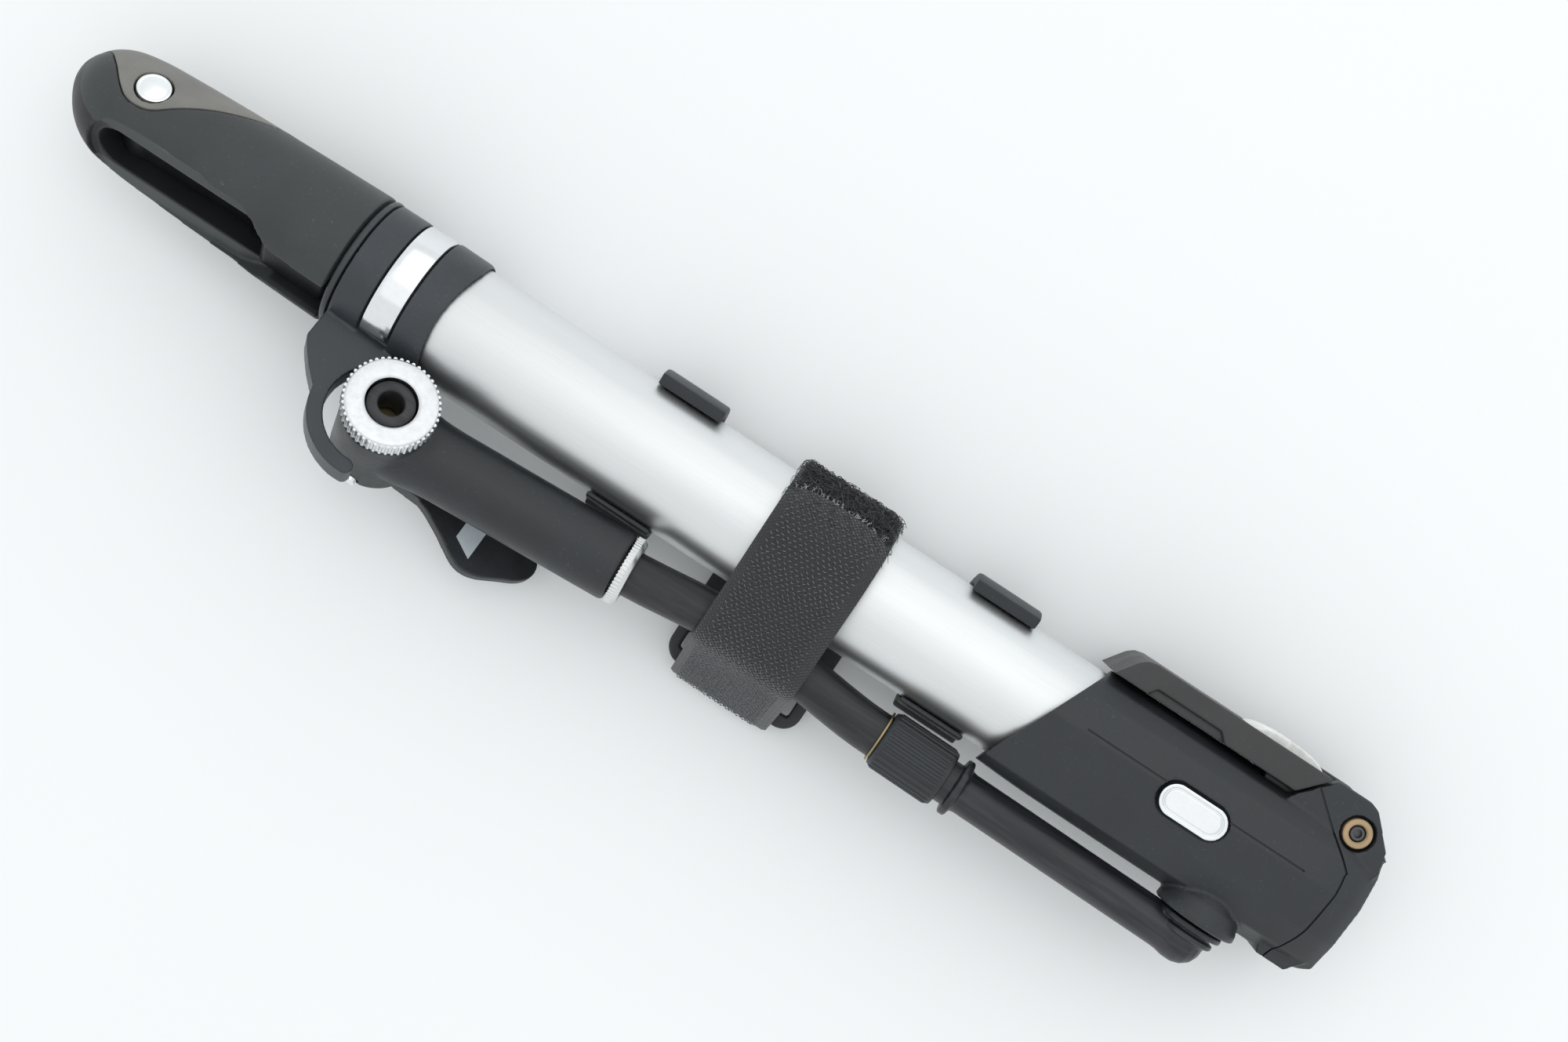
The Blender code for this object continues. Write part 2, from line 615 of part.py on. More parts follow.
def tube_along(name, points, radius, colour=None, frame=None, sides=2):
    """A round rod along a path, as a curve made into a mesh with its caps welded."""
    curve = bpy.data.curves.new(name, "CURVE")
    curve.dimensions = "3D"
    curve.bevel_depth = radius * MM
    curve.bevel_resolution = sides
    curve.use_fill_caps = True
    spline = curve.splines.new("POLY")
    spline.points.add(len(points) - 1)
    for point, place in zip(spline.points, points):
        point.co = (*(Vector(place) * MM), 1.0)
    holder = bpy.data.objects.new(name + "_curve", curve)
    CUTTERS.objects.link(holder)
    bpy.context.view_layer.update()
    graph = bpy.context.evaluated_depsgraph_get()
    mesh = bpy.data.meshes.new_from_object(holder.evaluated_get(graph))
    bpy.data.objects.remove(holder, do_unlink=True)
    bm = bmesh.new()
    bm.from_mesh(mesh)
    bmesh.ops.remove_doubles(bm, verts=bm.verts, dist=1e-6)
    bmesh.ops.recalc_face_normals(bm, faces=bm.faces)
    bm.to_mesh(mesh)
    bm.free()
    return add_mesh(name, mesh, colour, frame)


def build_valve():
    turned("barrel_end_plug", [
        (84.6, 1.6), (84.6, 9.6), (85.6, 9.6), (85.6, 8.6), (87.2, 8.6), (87.2, 9.6),
        (BARREL_END - 0.1, 9.6), (BARREL_END - 0.1, 5.2), (90.6, 5.2), (90.6, 1.6),
    ], "white", AXIS_X, 24)
    turned("barrel_o_ring", ring_profile(85.9, 86.9, 8.9, 9.7, 0.3), "rubber", AXIS_X, 24)
    turned("check_valve_disc", disc_profile(91.0, 92.6, 4.6, 0.3), "rubber", AXIS_X, SMALL_STEPS)
    tube_along("check_valve_spring", spring_points(93.3, 99.4, 3.9, 3, 9), 0.35, "steel", BARREL_FRAME, 0)


def build_foot():
    hinge = FOOT_HINGE
    pad = prism("foot_pad", [
        (73.0, 12.5), (75.6, 16.2), (76.8, 17.2), (78.4, 17.6), (113.8, 17.6), (109.2, 12.5),
    ], -FOOT_PAD_HALF, FOOT_PAD_HALF, "charcoal", BARREL_FRAME)
    bevelled(pad, 0.8, 2, 50)
    applied(pad)
    hollow = block("pad_hollow", (75.8, 0, -8.2), (103.0, 15.4, 8.2))
    thumb = prism("thumb_recess", [(79.6, 10), (79.6, 12.6), (80.6, 14.1), (93.4, 14.1), (94.9, 12.6), (94.9, 10)],
                  9.0, 12, None, BARREL_FRAME)
    thumb_far = prism("thumb_recess_far", [(79.6, 10), (79.6, 12.6), (80.6, 14.1), (93.4, 14.1), (94.9, 12.6),
                                           (94.9, 10)], -12.0, -9.0, None, BARREL_FRAME)
    rubber_seat = block("rubber_seat", (97.6, 16.6, -6.4), (113.0, 20, 6.4))
    cut(pad, hollow, thumb, thumb_far, rubber_seat)
    applied(pad)
    web = prism("foot_web", [(104.4, 8.2), (119.5, 8.2), (122.1, 7.6), (122.1, 16.8), (118.0, 15.3), (104.4, 15.3)],
                -FOOT_WEB_HALF, FOOT_WEB_HALF, None, BARREL_FRAME)
    knuckle = rod("foot_knuckle", (hinge.x, hinge.y, -FOOT_WEB_HALF), (hinge.x, hinge.y, FOOT_WEB_HALF), 4.8)
    join(web, knuckle)
    applied(web)
    join(pad, web)
    applied(pad)
    cut(pad, rod("foot_bore", (hinge.x, hinge.y, -20), (hinge.x, hinge.y, 20), 1.6))

    rubber = block("foot_rubber", (97.9, 16.9, -6.1), (112.7, 19.3, 6.1), "cream", BARREL_FRAME)
    bevelled(rubber, 1.0, 3)
    at_hinge = frame_at((hinge.x, hinge.y, AXIS_HEIGHT), (1, 0, 0), (0, 0, 1))
    turned("foot_hinge_screw", [
        (-7.2, 0), (-7.2, 1.3), (7.0, 1.3), (7.9, 1.3), (9.0, 1.3), (9.0, 0.8), (8.0, 0.8), (8.0, 0),
    ], "steel", at_hinge, 18)
    turned("foot_hinge_sleeve", ring_profile(7.9, 9.3, 1.6, 2.6, 0.3), "bronze", at_hinge, SMALL_STEPS)
    nut_bore = rod("nut_bore", (0, 0, -20), (0, 0, 20), 1.6, None, at_hinge, 18)
    nut = turned("foot_hinge_nut", disc_profile(-9.2, -7.9, 2.6, 0.2), "steel", at_hinge, 6)
    cut(nut, nut_bore)


# Hose line

def hose_line(x):
    """The pipe's and the hose's axis at x: straight in the pipe, then one smooth curve to the ring."""
    flange = Vector((UNION_FLANGE, -19.05, 3.4))
    if x >= UNION_MOUTH - 2:
        t = (x - flange.x) / (SWIVEL.x - flange.x)
        return flange.lerp(SWIVEL, t)
    start, end = hose_line(UNION_MOUTH - 2), RING_CENTRE
    span = end.x - start.x
    t = (x - start.x) / span
    slope_start = (SWIVEL - flange) / (SWIVEL.x - flange.x)
    slope_end = TUBE_DIRECTION / TUBE_DIRECTION.x
    h00, h10 = 2 * t**3 - 3 * t**2 + 1, t**3 - 2 * t**2 + t
    h01, h11 = -2 * t**3 + 3 * t**2, t**3 - t**2
    bow = Vector((0, 1.6, 0)) * (4 * t * (1 - t)) ** 2
    point = start * h00 + slope_start * span * h10 + end * h01 + slope_end * span * h11 + bow
    return Vector((x, point.y, point.z))


def build_elbow():
    """Spigot, stepped collars and rigid pipe, which turn together in the base."""
    sw = SWIVEL
    at_spigot = along((sw.x, 0, sw.z + AXIS_HEIGHT), (0, -1, 0))
    elbow = turned("swivel_elbow", [
        (4.6, 0), (4.6, 3.05), (7.0, 3.05), (7.0, 2.3), (8.8, 2.3), (8.8, 3.05), (15.7, 3.05), (15.7, 5.3),
        (17.2, 5.3), (17.2, 4.3), (18.6, 4.3), (20.6, 3.6), (22.2, 2.2), (22.8, 0),
    ], "black", at_spigot, SMALL_STEPS)
    pipe_end = hose_line(UNION_FLANGE - 0.2)
    pipe = rod("pipe", hose_line(sw.x + 0.2), pipe_end, PIPE_RADIUS)
    knee = turned("knee", [(-4.3, 0), (-3.9, 1.7), (-2.9, 3.0), (-1.5, 3.9), (0, 4.2), (1.5, 3.9), (2.9, 3.0),
                           (3.9, 1.7), (4.3, 0)], None, along(sw + Vector((0, 0, AXIS_HEIGHT)), (1, 0, 0)), SMALL_STEPS)
    flange = rod("pipe_flange", hose_line(UNION_FLANGE), hose_line(UNION_FLANGE - 1.5), 5.3)
    stub = rod("pipe_stub", hose_line(UNION_FLANGE - 1), hose_line(53.2), 3.9)
    barb = rod("pipe_barb", hose_line(54), hose_line(45.0), 1.8, None, None, 16)
    join(elbow, knee)
    applied(elbow)
    for piece in (pipe, flange, stub, barb):
        join(elbow, piece)
        applied(elbow)
    turned("swivel_o_ring", ring_profile(7.35, 8.45, 2.6, 3.2, 0.2), "rubber", at_spigot, 20)


def build_union():
    at_union = along(hose_line(UNION_MOUTH) + Vector((0, 0, AXIS_HEIGHT)), hose_line(60) - hose_line(UNION_MOUTH))
    length = 60.0 - UNION_MOUTH
    nut = turned("union_nut", [
        (0.3, 4.5), (0.3, 5.0), (0.9, 5.5), (length - 0.4, 5.5), (length - 0.1, 5.2), (length - 0.1, 4.4), (7, 4.4),
    ], "black", at_union, 24)
    turned("union_ferrule", ring_profile(-0.6, 0.0, 4.4, 4.95), "brass", at_union, SMALL_STEPS)
    return nut


def build_hose():
    start, end = 52.7, -17.6
    count = 16
    points = []
    for i in range(count + 1):
        x = start + (end - start) * i / count
        points.append(hose_line(x) if x > RING_CENTRE.x else RING_CENTRE + TUBE_DIRECTION * (x - RING_CENTRE.x))
    hose = tube_along("hose", points, HOSE_RADIUS, "rubber", BARREL_FRAME, 3)
    longer = [points[0] * 2 - points[1]] + points + [points[-1] * 2 - points[-2]]
    cut(hose, tube_along("hose_bore", longer, HOSE_BORE, None, BARREL_FRAME, 2))
    at_ring = along(RING_CENTRE + Vector((0, 0, AXIS_HEIGHT)), TUBE_DIRECTION)
    turned("coupling_ring", [
        (-1.0, 4.45), (-1.0, 6.3), (-0.7, 6.5), (0.0, 6.5), (0.9, 5.7), (0.9, 4.45),
    ], "chrome", at_ring, 24)
    turned("hose_barb", [
        (-24.0, 0.8), (-24.0, 2.2), (-17.9, 2.2), (-17.9, 1.9), (-7.0, 1.9), (-6.4, 1.5), (-6.4, 0.8),
    ], "brass", at_ring, 16)


# Pump head, in the head's own frame: z is the valve axis, 0 at the nut's face, x towards the hose

def build_head():
    r = HEAD_RADIUS
    head = turned("head_body", [
        (-1.5, 0), (-1.5, 6.0), (-3.9, 6.0), (-3.9, r - 0.5), (-4.4, r), (-20.4, r), (-21.6, r - 0.6),
        (-22.4, r - 1.8), (-22.6, 0),
    ], "black", HEAD_FRAME, 30)
    start = HEAD_AXIS_POINT(TUBE_DEPTH)
    end = RING_CENTRE - TUBE_DIRECTION * 1.4
    tube_frame = along(start + Vector((0, 0, AXIS_HEIGHT)), end - start)
    length = (end - start).length
    tube = turned("head_tube", [
        (0.5, 0), (0.5, TUBE_RADIUS), (length - 0.4, TUBE_RADIUS - 0.1), (length, TUBE_RADIUS - 0.5), (length, 0),
    ], None, tube_frame, 28)
    join(head, tube)
    applied(head)
    bore = turned("gasket_bore", disc_profile(-14.4, 10, 4.55), None, HEAD_FRAME, SMALL_STEPS)
    passage = turned("hose_passage", [
        (1.5, 0), (1.5, 2.5), (length - 12.8, 2.5), (length - 12.8, 4.5), (length + 5, 4.5), (length + 5, 0),
    ], None, tube_frame, SMALL_STEPS)
    cam_slot = block("cam_slot", (-5.4, -3.0, -40), (5.2, 3.0, -15.5), None, HEAD_FRAME)
    neck_slot = block("neck_slot", (2.0, -2.9, -40), (16, 2.9, -18.4), None, HEAD_FRAME)
    pin_hole = rod("lever_pin_hole", (0, -20, -LEVER_DEPTH), (0, 20, -LEVER_DEPTH), 1.25 + GAP, None, HEAD_FRAME, 16)
    cut(head, bore, passage)
    applied(head)
    cut(head, cam_slot, neck_slot)
    applied(head)
    cut(head, pin_hole)
    turned("valve_gasket", [
        (-0.7, 2.3), (-0.7, 3.9), (-1.0, 4.2), (-8.2, 4.2), (-8.2, 2.3),
    ], "rubber", HEAD_FRAME, SMALL_STEPS)
    turned("gasket_plunger", [(-8.6, 1.2), (-8.6, 4.2), (-14.0, 4.2), (-14.0, 1.2)], "brass", HEAD_FRAME, 20)


def build_valve_nut():
    """The knurled nut: scallops all round its rim."""
    outline = []
    for i in range(NUT_FLUTES * 2):
        angle = math.pi * i / NUT_FLUTES
        radius = NUT_RADIUS - 0.3 * (i % 2)
        outline.append((radius * math.cos(angle), radius * math.sin(angle)))
    nut = prism("valve_nut", outline, -3.6, 0.0, "aluminium", HEAD_FRAME)
    lip = turned("nut_hole", [(-6, 0), (-6, 6.3), (-1.2, 6.3), (-1.2, 4.5), (3, 4.5), (3, 0)], None, HEAD_FRAME,
                 ROUND_STEPS)
    cut(nut, lip)


def build_lever():
    """A cam in the head's slot, a neck under the hose tube and a leaf-shaped thumb plate."""
    side = HEAD_FRAME @ Matrix.Translation(Vector((0, 0, -LEVER_DEPTH)) * MM) @ Matrix.Rotation(
        math.radians(90), 4, "X")
    cam_outline = arc((0, 0), 3.7, 50, 262, 14) + [(6.0, -5.4), (11.4, -6.0), (11.6, -2.6), (5.2, -0.6)]
    cam = prism("lock_lever", cam_outline, -2.7, 2.7, "black", side)
    slope = math.radians(9.0)
    leaf_frame = HEAD_FRAME @ Matrix.Translation(Vector((9.0, 0, -LEVER_DEPTH - 2.7)) * MM) @ Matrix.Rotation(
        slope, 4, "Y")
    half = [(0.0, 2.5), (4.0, 3.0), (9.0, 5.2), (13.0, 7.3), (15.6, 7.9), (18.5, 7.2), (22.0, 5.0), (24.8, 3.2),
            (26.2, 1.6), (26.6, 0.0)]
    leaf = prism("lever_leaf", half + [(x, -y) for x, y in reversed(half[:-1])], -2.6, -0.2, None, leaf_frame)
    bevelled(leaf, 0.5, 2, 50)
    join(cam, applied(leaf))
    applied(cam)
    cut(cam, rod("lever_bore", (0, -20, -LEVER_DEPTH), (0, 20, -LEVER_DEPTH), 1.25 + GAP, None, HEAD_FRAME, 16))
    rod("lever_pin", (0, -8.6, -LEVER_DEPTH), (0, 8.6, -LEVER_DEPTH), 1.25, "chrome", HEAD_FRAME, 16)


# Bracket and strap

def clip_outline():
    """Both clip arms and the saddle as one open ring round the barrel; the arm by the hose thins to clear it."""
    tip = CLIP_TIP
    outer = arc((0, 0), CLIP_OUTER, tip, -170, 24)
    thin = arc((0, 0), CLIP_THIN, -174, -180 - tip, 5)
    inner = arc((0, 0), CLIP_INNER, -180 - tip, tip, 30)
    return outer + thin + inner


def build_bracket():
    half = BOLT_SPACING / 2
    low, high = BRACKET_CENTRE - half - 9.4, BRACKET_CENTRE + half + 9.6
    plate = block("frame_bracket", (low, -PLATE_HALF, -AXIS_HEIGHT),
                  (high, PLATE_HALF, PLATE_THICK - AXIS_HEIGHT), "black", BARREL_FRAME)
    bevelled(plate, 0.5, 1)
    applied(plate)
    tab_x0, tab_x1, tab_y = 7.2, 34.6, TAB_EDGE
    corner = 3.6
    tab_outline = [(tab_x0, -10), (tab_x1, -10)]
    tab_outline += arc((tab_x1 - corner, tab_y + corner), corner, 0, -90, 6)
    tab_outline += arc((tab_x0 + corner, tab_y + corner), corner, -90, -180, 6)
    tab = prism("strap_tab", tab_outline, TAB_LOW - AXIS_HEIGHT, TAB_TOP - AXIS_HEIGHT, None, BARREL_FRAME)
    join(plate, tab)
    applied(plate)
    across = BARREL_FRAME @ Matrix.Rotation(math.radians(90), 4, "Z") @ Matrix.Rotation(math.radians(90), 4, "X")
    for i, centre in enumerate((BRACKET_CENTRE - half, BRACKET_CENTRE + half)):
        clip = prism(f"clip_{i}", clip_outline(), centre - CLIP_WIDTH / 2, centre + CLIP_WIDTH / 2, None, across)
        bevelled(clip, 0.4, 1)
        applied(clip)
        join(plate, clip)
        applied(plate)
        slot = block(f"bolt_slot_{i}", (centre - 4.0, -2.7, -60), (centre + 4.0, 2.7, 5.5 - AXIS_HEIGHT))
        cut(plate, slot)
    strap_slot = block("strap_slot", (9.4, TAB_EDGE + BAR_WIDTH, -30), (32.4, -23.4, 30 - AXIS_HEIGHT))
    cut(plate, strap_slot)


def strap_frame():
    """Local x and y are world y and z from the barrel's axis; local z is world x."""
    return BARREL_FRAME @ Matrix.Rotation(math.radians(90), 4, "Z") @ Matrix.Rotation(math.radians(90), 4, "X")


def build_strap():
    middle = 20.3
    low, high = middle - STRAP_WIDTH / 2, middle + STRAP_WIDTH / 2
    radius = BARREL_RADIUS + GAP + STRAP_THICK / 2 - 0.1
    on_tab = TAB_TOP + GAP + STRAP_THICK / 2 - AXIS_HEIGHT
    path = arc((0, 0), radius, 98, -112, 34)
    path += [(-9.0, on_tab - 0.25), (-12.4, on_tab), (-22.0, on_tab)]
    tape = prism("strap_loop_tape", ribbon(path, STRAP_THICK), low, high, "webbing", strap_frame())
    outer = radius + STRAP_THICK + GAP
    hose = hose_line(middle)
    hose_wrap = HOSE_RADIUS + 3 * GAP + STRAP_THICK / 2
    bar = (TAB_EDGE + BAR_WIDTH / 2, (TAB_LOW + TAB_TOP) / 2 - AXIS_HEIGHT)
    wrap = arc((hose.y, hose.z), hose_wrap, 95, 182, 8)
    path = arc((0, 0), outer, 55, 96, 10)
    path += wrap
    path += [(bar[0] - HOOK_RADIUS - 0.2, 7.0 - AXIS_HEIGHT)]
    path += arc(bar, HOOK_RADIUS, 178, 290, 9)
    tape = prism("strap_hook_tape", ribbon(path, STRAP_THICK), low, high, "webbing", strap_frame())
    return tape


clear_scene()
PARTS = collection("mini_pump")
CUTTERS = collection("cutters")

BARREL_FRAME = Matrix.Translation((0, 0, AXIS_HEIGHT * MM))
AXIS_X = along((0, 0, AXIS_HEIGHT), (1, 0, 0))

TWIST = math.radians(HANDLE_TWIST)
HANDLE_FRAME = frame_at((HANDLE_PIN, 0, AXIS_HEIGHT), (1, 0, 0), (0, math.sin(TWIST), math.cos(TWIST)))
HEAD_AXIS = Vector((math.sin(math.radians(HEAD_LEAN)), math.sin(math.radians(HEAD_TILT)), 0.0))
HEAD_AXIS.z = math.sqrt(1 - HEAD_AXIS.length_squared)
HEAD_FRAME = frame_at(HEAD_FACE + Vector((0, 0, AXIS_HEIGHT)), (1, 0, 0), HEAD_AXIS)


def HEAD_AXIS_POINT(depth):
    return HEAD_FACE - HEAD_AXIS * depth


TUBE_DIRECTION = (RING_CENTRE - HEAD_AXIS_POINT(TUBE_DEPTH)).normalized()

build_barrel()
build_collar()
build_rod_guide()
build_rod()
build_rod_arm()
build_handle()
build_base()
build_valve()
build_foot()
build_elbow()
build_union()
build_hose()
build_head()
build_valve_nut()
build_lever()
build_bracket()
build_strap()
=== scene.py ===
"""Looks for the mini pump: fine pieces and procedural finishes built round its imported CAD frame.

The file is laid out as an add-on whose operators each build one group of pieces. Lengths in the helpers are
millimetres in a piece's own frame, and every finished mesh is in metres in the shared frame.
"""

import json
import math
import random

import bmesh
import bpy
from bpy.props import FloatProperty, FloatVectorProperty, IntProperty, PointerProperty
from mathutils import Matrix, Vector


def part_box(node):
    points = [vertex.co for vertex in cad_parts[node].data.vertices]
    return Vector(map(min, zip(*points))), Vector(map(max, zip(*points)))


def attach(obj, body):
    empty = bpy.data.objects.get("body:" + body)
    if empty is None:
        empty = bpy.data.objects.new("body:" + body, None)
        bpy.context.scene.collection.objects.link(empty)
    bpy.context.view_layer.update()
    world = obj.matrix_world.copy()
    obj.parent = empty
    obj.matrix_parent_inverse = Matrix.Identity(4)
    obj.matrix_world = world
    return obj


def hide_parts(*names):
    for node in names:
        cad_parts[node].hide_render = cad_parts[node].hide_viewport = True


bl_info = {
    "name": "Mini pump builder",
    "version": (1, 0, 0),
    "blender": (4, 5, 0),
    "location": "3D View > Sidebar > Pump",
    "description": "Builds the pump's visible pieces and their finishes round its frame",
    "category": "Object",
}

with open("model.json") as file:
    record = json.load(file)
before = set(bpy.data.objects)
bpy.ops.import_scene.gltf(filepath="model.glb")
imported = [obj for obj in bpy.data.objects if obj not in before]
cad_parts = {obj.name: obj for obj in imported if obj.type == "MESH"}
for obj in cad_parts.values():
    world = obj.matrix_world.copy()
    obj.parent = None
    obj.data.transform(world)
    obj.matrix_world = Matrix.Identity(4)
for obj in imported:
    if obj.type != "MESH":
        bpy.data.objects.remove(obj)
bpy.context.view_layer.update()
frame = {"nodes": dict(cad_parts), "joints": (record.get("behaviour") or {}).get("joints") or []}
NODES = frame["nodes"]
JOINTS = {joint["name"]: joint for joint in frame["joints"]}
MM = 0.001


# Frames, taken from the joints

def frame_at(origin, x_axis, z_axis):
    """A matrix at origin, in metres, whose local z is z_axis and whose local x is nearest x_axis."""
    z = Vector(z_axis).normalized()
    x = Vector(x_axis)
    x = (x - x.dot(z) * z).normalized()
    return Matrix.Translation(Vector(origin)) @ Matrix((x, z.cross(x), z)).transposed().to_4x4()


def turned(degrees, axis):
    """A turn about one of a frame's own axes."""
    return Matrix.Rotation(math.radians(degrees), 4, axis)


def joint_frame(name, x_axis=(1, 0, 0)):
    """A frame at a joint, its z along the joint's axis."""
    joint = JOINTS[name]
    return frame_at(joint["pos_m"], x_axis, joint["axis"])


BARREL_Z = JOINTS["rod_spin"]["pos_m"][2]
BARREL = Matrix.Translation((0, 0, BARREL_Z))
AXIS_X = frame_at((0, 0, BARREL_Z), (0, 0, 1), (1, 0, 0))
SECTION = BARREL @ turned(90, "Z") @ turned(90, "X")
HANDLE = joint_frame("handle_fold")
HEAD = joint_frame("valve_nut_spin")
RING = joint_frame("coupling_ring_spin", (0, 0, 1))
UNION = joint_frame("union_nut_spin", (0, 0, 1))
HINGE = frame_at(JOINTS["foot_fold"]["pos_m"], (1, 0, 0), (0, 0, 1))
SPIGOT = frame_at(Vector((JOINTS["hose_swivel"]["pos_m"][0], 0, JOINTS["hose_swivel"]["pos_m"][2])),
                  (0, 0, 1), (0, -1, 0))
PIN_X = HANDLE.translation.x / MM
LEVER_DEPTH = (HEAD.translation - Vector(JOINTS["lever_lock"]["pos_m"])).length / MM
BAR = (JOINTS["strap_open"]["pos_m"][1] / MM, (JOINTS["strap_open"]["pos_m"][2] - BARREL_Z) / MM)


# Mesh helpers: millimetres in, metres out

def placed(name, bm, place):
    """The bmesh as an object at the origin, its place in its mesh."""
    bmesh.ops.scale(bm, vec=(MM, MM, MM), verts=bm.verts)
    bmesh.ops.transform(bm, matrix=place, verts=bm.verts)
    bmesh.ops.recalc_face_normals(bm, faces=bm.faces)
    mesh = bpy.data.meshes.new(name)
    bm.to_mesh(mesh)
    bm.free()
    obj = bpy.data.objects.new(name, mesh)
    bpy.context.scene.collection.objects.link(obj)
    return obj


def smooth(obj, angle=None):
    """Shades it smooth, with edges over angle degrees left sharp."""
    obj.data.shade_smooth()
    if angle is not None:
        obj.data.set_sharp_from_angle(angle=math.radians(angle))
    return obj


def baked(obj):
    """The object with its modifiers made real and removed."""
    bpy.context.view_layer.update()
    graph = bpy.context.evaluated_depsgraph_get()
    mesh = bpy.data.meshes.new_from_object(obj.evaluated_get(graph))
    obj.modifiers.clear()
    obj.data = mesh
    return obj


def combine(obj, operation, *others):
    """Applies one exact boolean for each of the others, which are used up."""
    for other in others:
        modifier = obj.modifiers.new(operation, "BOOLEAN")
        modifier.operation = operation
        modifier.solver = "EXACT"
        modifier.object = other
        baked(obj)
        bpy.data.objects.remove(other)
    return obj


def cut(obj, *others):
    return combine(obj, "DIFFERENCE", *others)


def join(obj, *others):
    return combine(obj, "UNION", *others)


def overlap(obj, *others):
    return combine(obj, "INTERSECT", *others)


def moulded(obj, voxel=0.3, rounds=5, keep=0.5):
    """Softens a cut shape into one moulded skin: fine remesh, smoothed edges, then thinned."""
    remesh = obj.modifiers.new("skin", "REMESH")
    remesh.mode = "VOXEL"
    remesh.voxel_size = voxel * MM
    ease = obj.modifiers.new("ease", "SMOOTH")
    ease.factor = 0.5
    ease.iterations = rounds
    baked(obj)
    if keep < 1:
        thin = obj.modifiers.new("thin", "DECIMATE")
        thin.ratio = keep
        baked(obj)
    return smooth(obj)


def merged(name, *objs):
    """Several objects' meshes as one."""
    bm = bmesh.new()
    for obj in objs:
        bm.from_mesh(obj.data)
        bpy.data.objects.remove(obj)
    mesh = bpy.data.meshes.new(name)
    bm.to_mesh(mesh)
    bm.free()
    obj = bpy.data.objects.new(name, mesh)
    bpy.context.scene.collection.objects.link(obj)
    return smooth(obj, 40)


def curve_through(points, steps=6):
    """A smooth line through points of any dimension."""
    points = [Vector(p) for p in points]
    line = []
    for i in range(len(points) - 1):
        p0, p1 = points[max(i - 1, 0)], points[i]
        p2, p3 = points[i + 1], points[min(i + 2, len(points) - 1)]
        for k in range(steps):
            t = k / steps
            line.append(0.5 * ((2 * p1) + (p2 - p0) * t + (2 * p0 - 5 * p1 + 4 * p2 - p3) * t**2
                               + (3 * p1 - p0 - 3 * p2 + p3) * t**3))
    return line + [points[-1]]


def arc(centre, radius, start, end, count):
    """Points along an arc, with its angles in degrees."""
    angles = [math.radians(start + (end - start) * i / count) for i in range(count + 1)]
    return [(centre[0] + radius * math.cos(a), centre[1] + radius * math.sin(a)) for a in angles]


def lathe(name, profile, place, steps=96, sweep=None):
    """Turns (place along z, radius) points about z. A sweep of (start, end) degrees makes an open ring."""
    bm = bmesh.new()
    closed = sweep is None
    start, end = (0, 360) if closed else sweep
    count = steps if closed else steps + 1
    angles = [math.radians(start + (end - start) * i / steps) for i in range(count)]
    columns = []
    for z, radius in profile:
        if radius <= 0:
            columns.append([bm.verts.new((0, 0, z))] * count)
        else:
            columns.append([bm.verts.new((radius * math.cos(a), radius * math.sin(a), z)) for a in angles])
    for first, second in zip(columns, columns[1:] + columns[:1]):
        for i in range(steps):
            j = (i + 1) % count
            corners = list(dict.fromkeys((first[i], first[j], second[j], second[i])))
            if len(corners) > 2:
                bm.faces.new(corners)
    if not closed:
        bm.faces.new([column[0] for column in columns])
        bm.faces.new([column[-1] for column in columns])
    return smooth(placed(name, bm, place), 35)


def ring(start, end, inner, outer, edge=0.15):
    """A ring's profile with eased outer edges."""
    return [(start, inner), (start, outer - edge), (start + 0.3 * edge, outer - 0.3 * edge), (start + edge, outer),
            (end - edge, outer), (end - 0.3 * edge, outer - 0.3 * edge), (end, outer - edge), (end, inner)]


def disc(start, end, radius, edge=0.15):
    """A solid disc's profile with eased edges."""
    return [(start, 0), (start, radius - edge), (start + 0.3 * edge, radius - 0.3 * edge), (start + edge, radius),
            (end - edge, radius), (end - 0.3 * edge, radius - 0.3 * edge), (end, radius - edge), (end, 0)]


def prism(name, outline, low, high, place):
    """An outline in place's xy plane, raised from low to high."""
    bm = bmesh.new()
    base = [bm.verts.new((p[0], p[1], low)) for p in outline]
    top = [bm.verts.new((p[0], p[1], high)) for p in outline]
    bm.faces.new(base)
    bm.faces.new(top)
    for i in range(len(outline)):
        j = (i + 1) % len(outline)
        bm.faces.new((base[i], base[j], top[j], top[i]))
    return placed(name, bm, place)


def block(name, low, high, place):
    """A box between two corners."""
    outline = [(low[0], low[1]), (high[0], low[1]), (high[0], high[1]), (low[0], high[1])]
    return prism(name, outline, low[2], high[2], place)


def loft(name, rings, place):
    """A closed skin over rings that have the same number of points."""
    bm = bmesh.new()
    rows = [[bm.verts.new(p) for p in row] for row in rings]
    count = len(rows[0])
    for row, after in zip(rows, rows[1:]):
        for i in range(count):
            j = (i + 1) % count
            bm.faces.new((row[i], row[j], after[j], after[i]))
    bm.faces.new(rows[0])
    bm.faces.new(rows[-1])
    return placed(name, bm, place)


def rod(name, start, end, radius, place, steps=64):
    """A plain round bar between two points."""
    start, end = Vector(start), Vector(end)
    run = end - start
    side = Vector((0, 0, 1)) if abs(run.normalized().z) < 0.8 else Vector((1, 0, 0))
    local = frame_at(start * MM, side, run)
    return lathe(name, [(0, 0), (0, radius), (run.length, radius), (run.length, 0)], place @ local, steps)


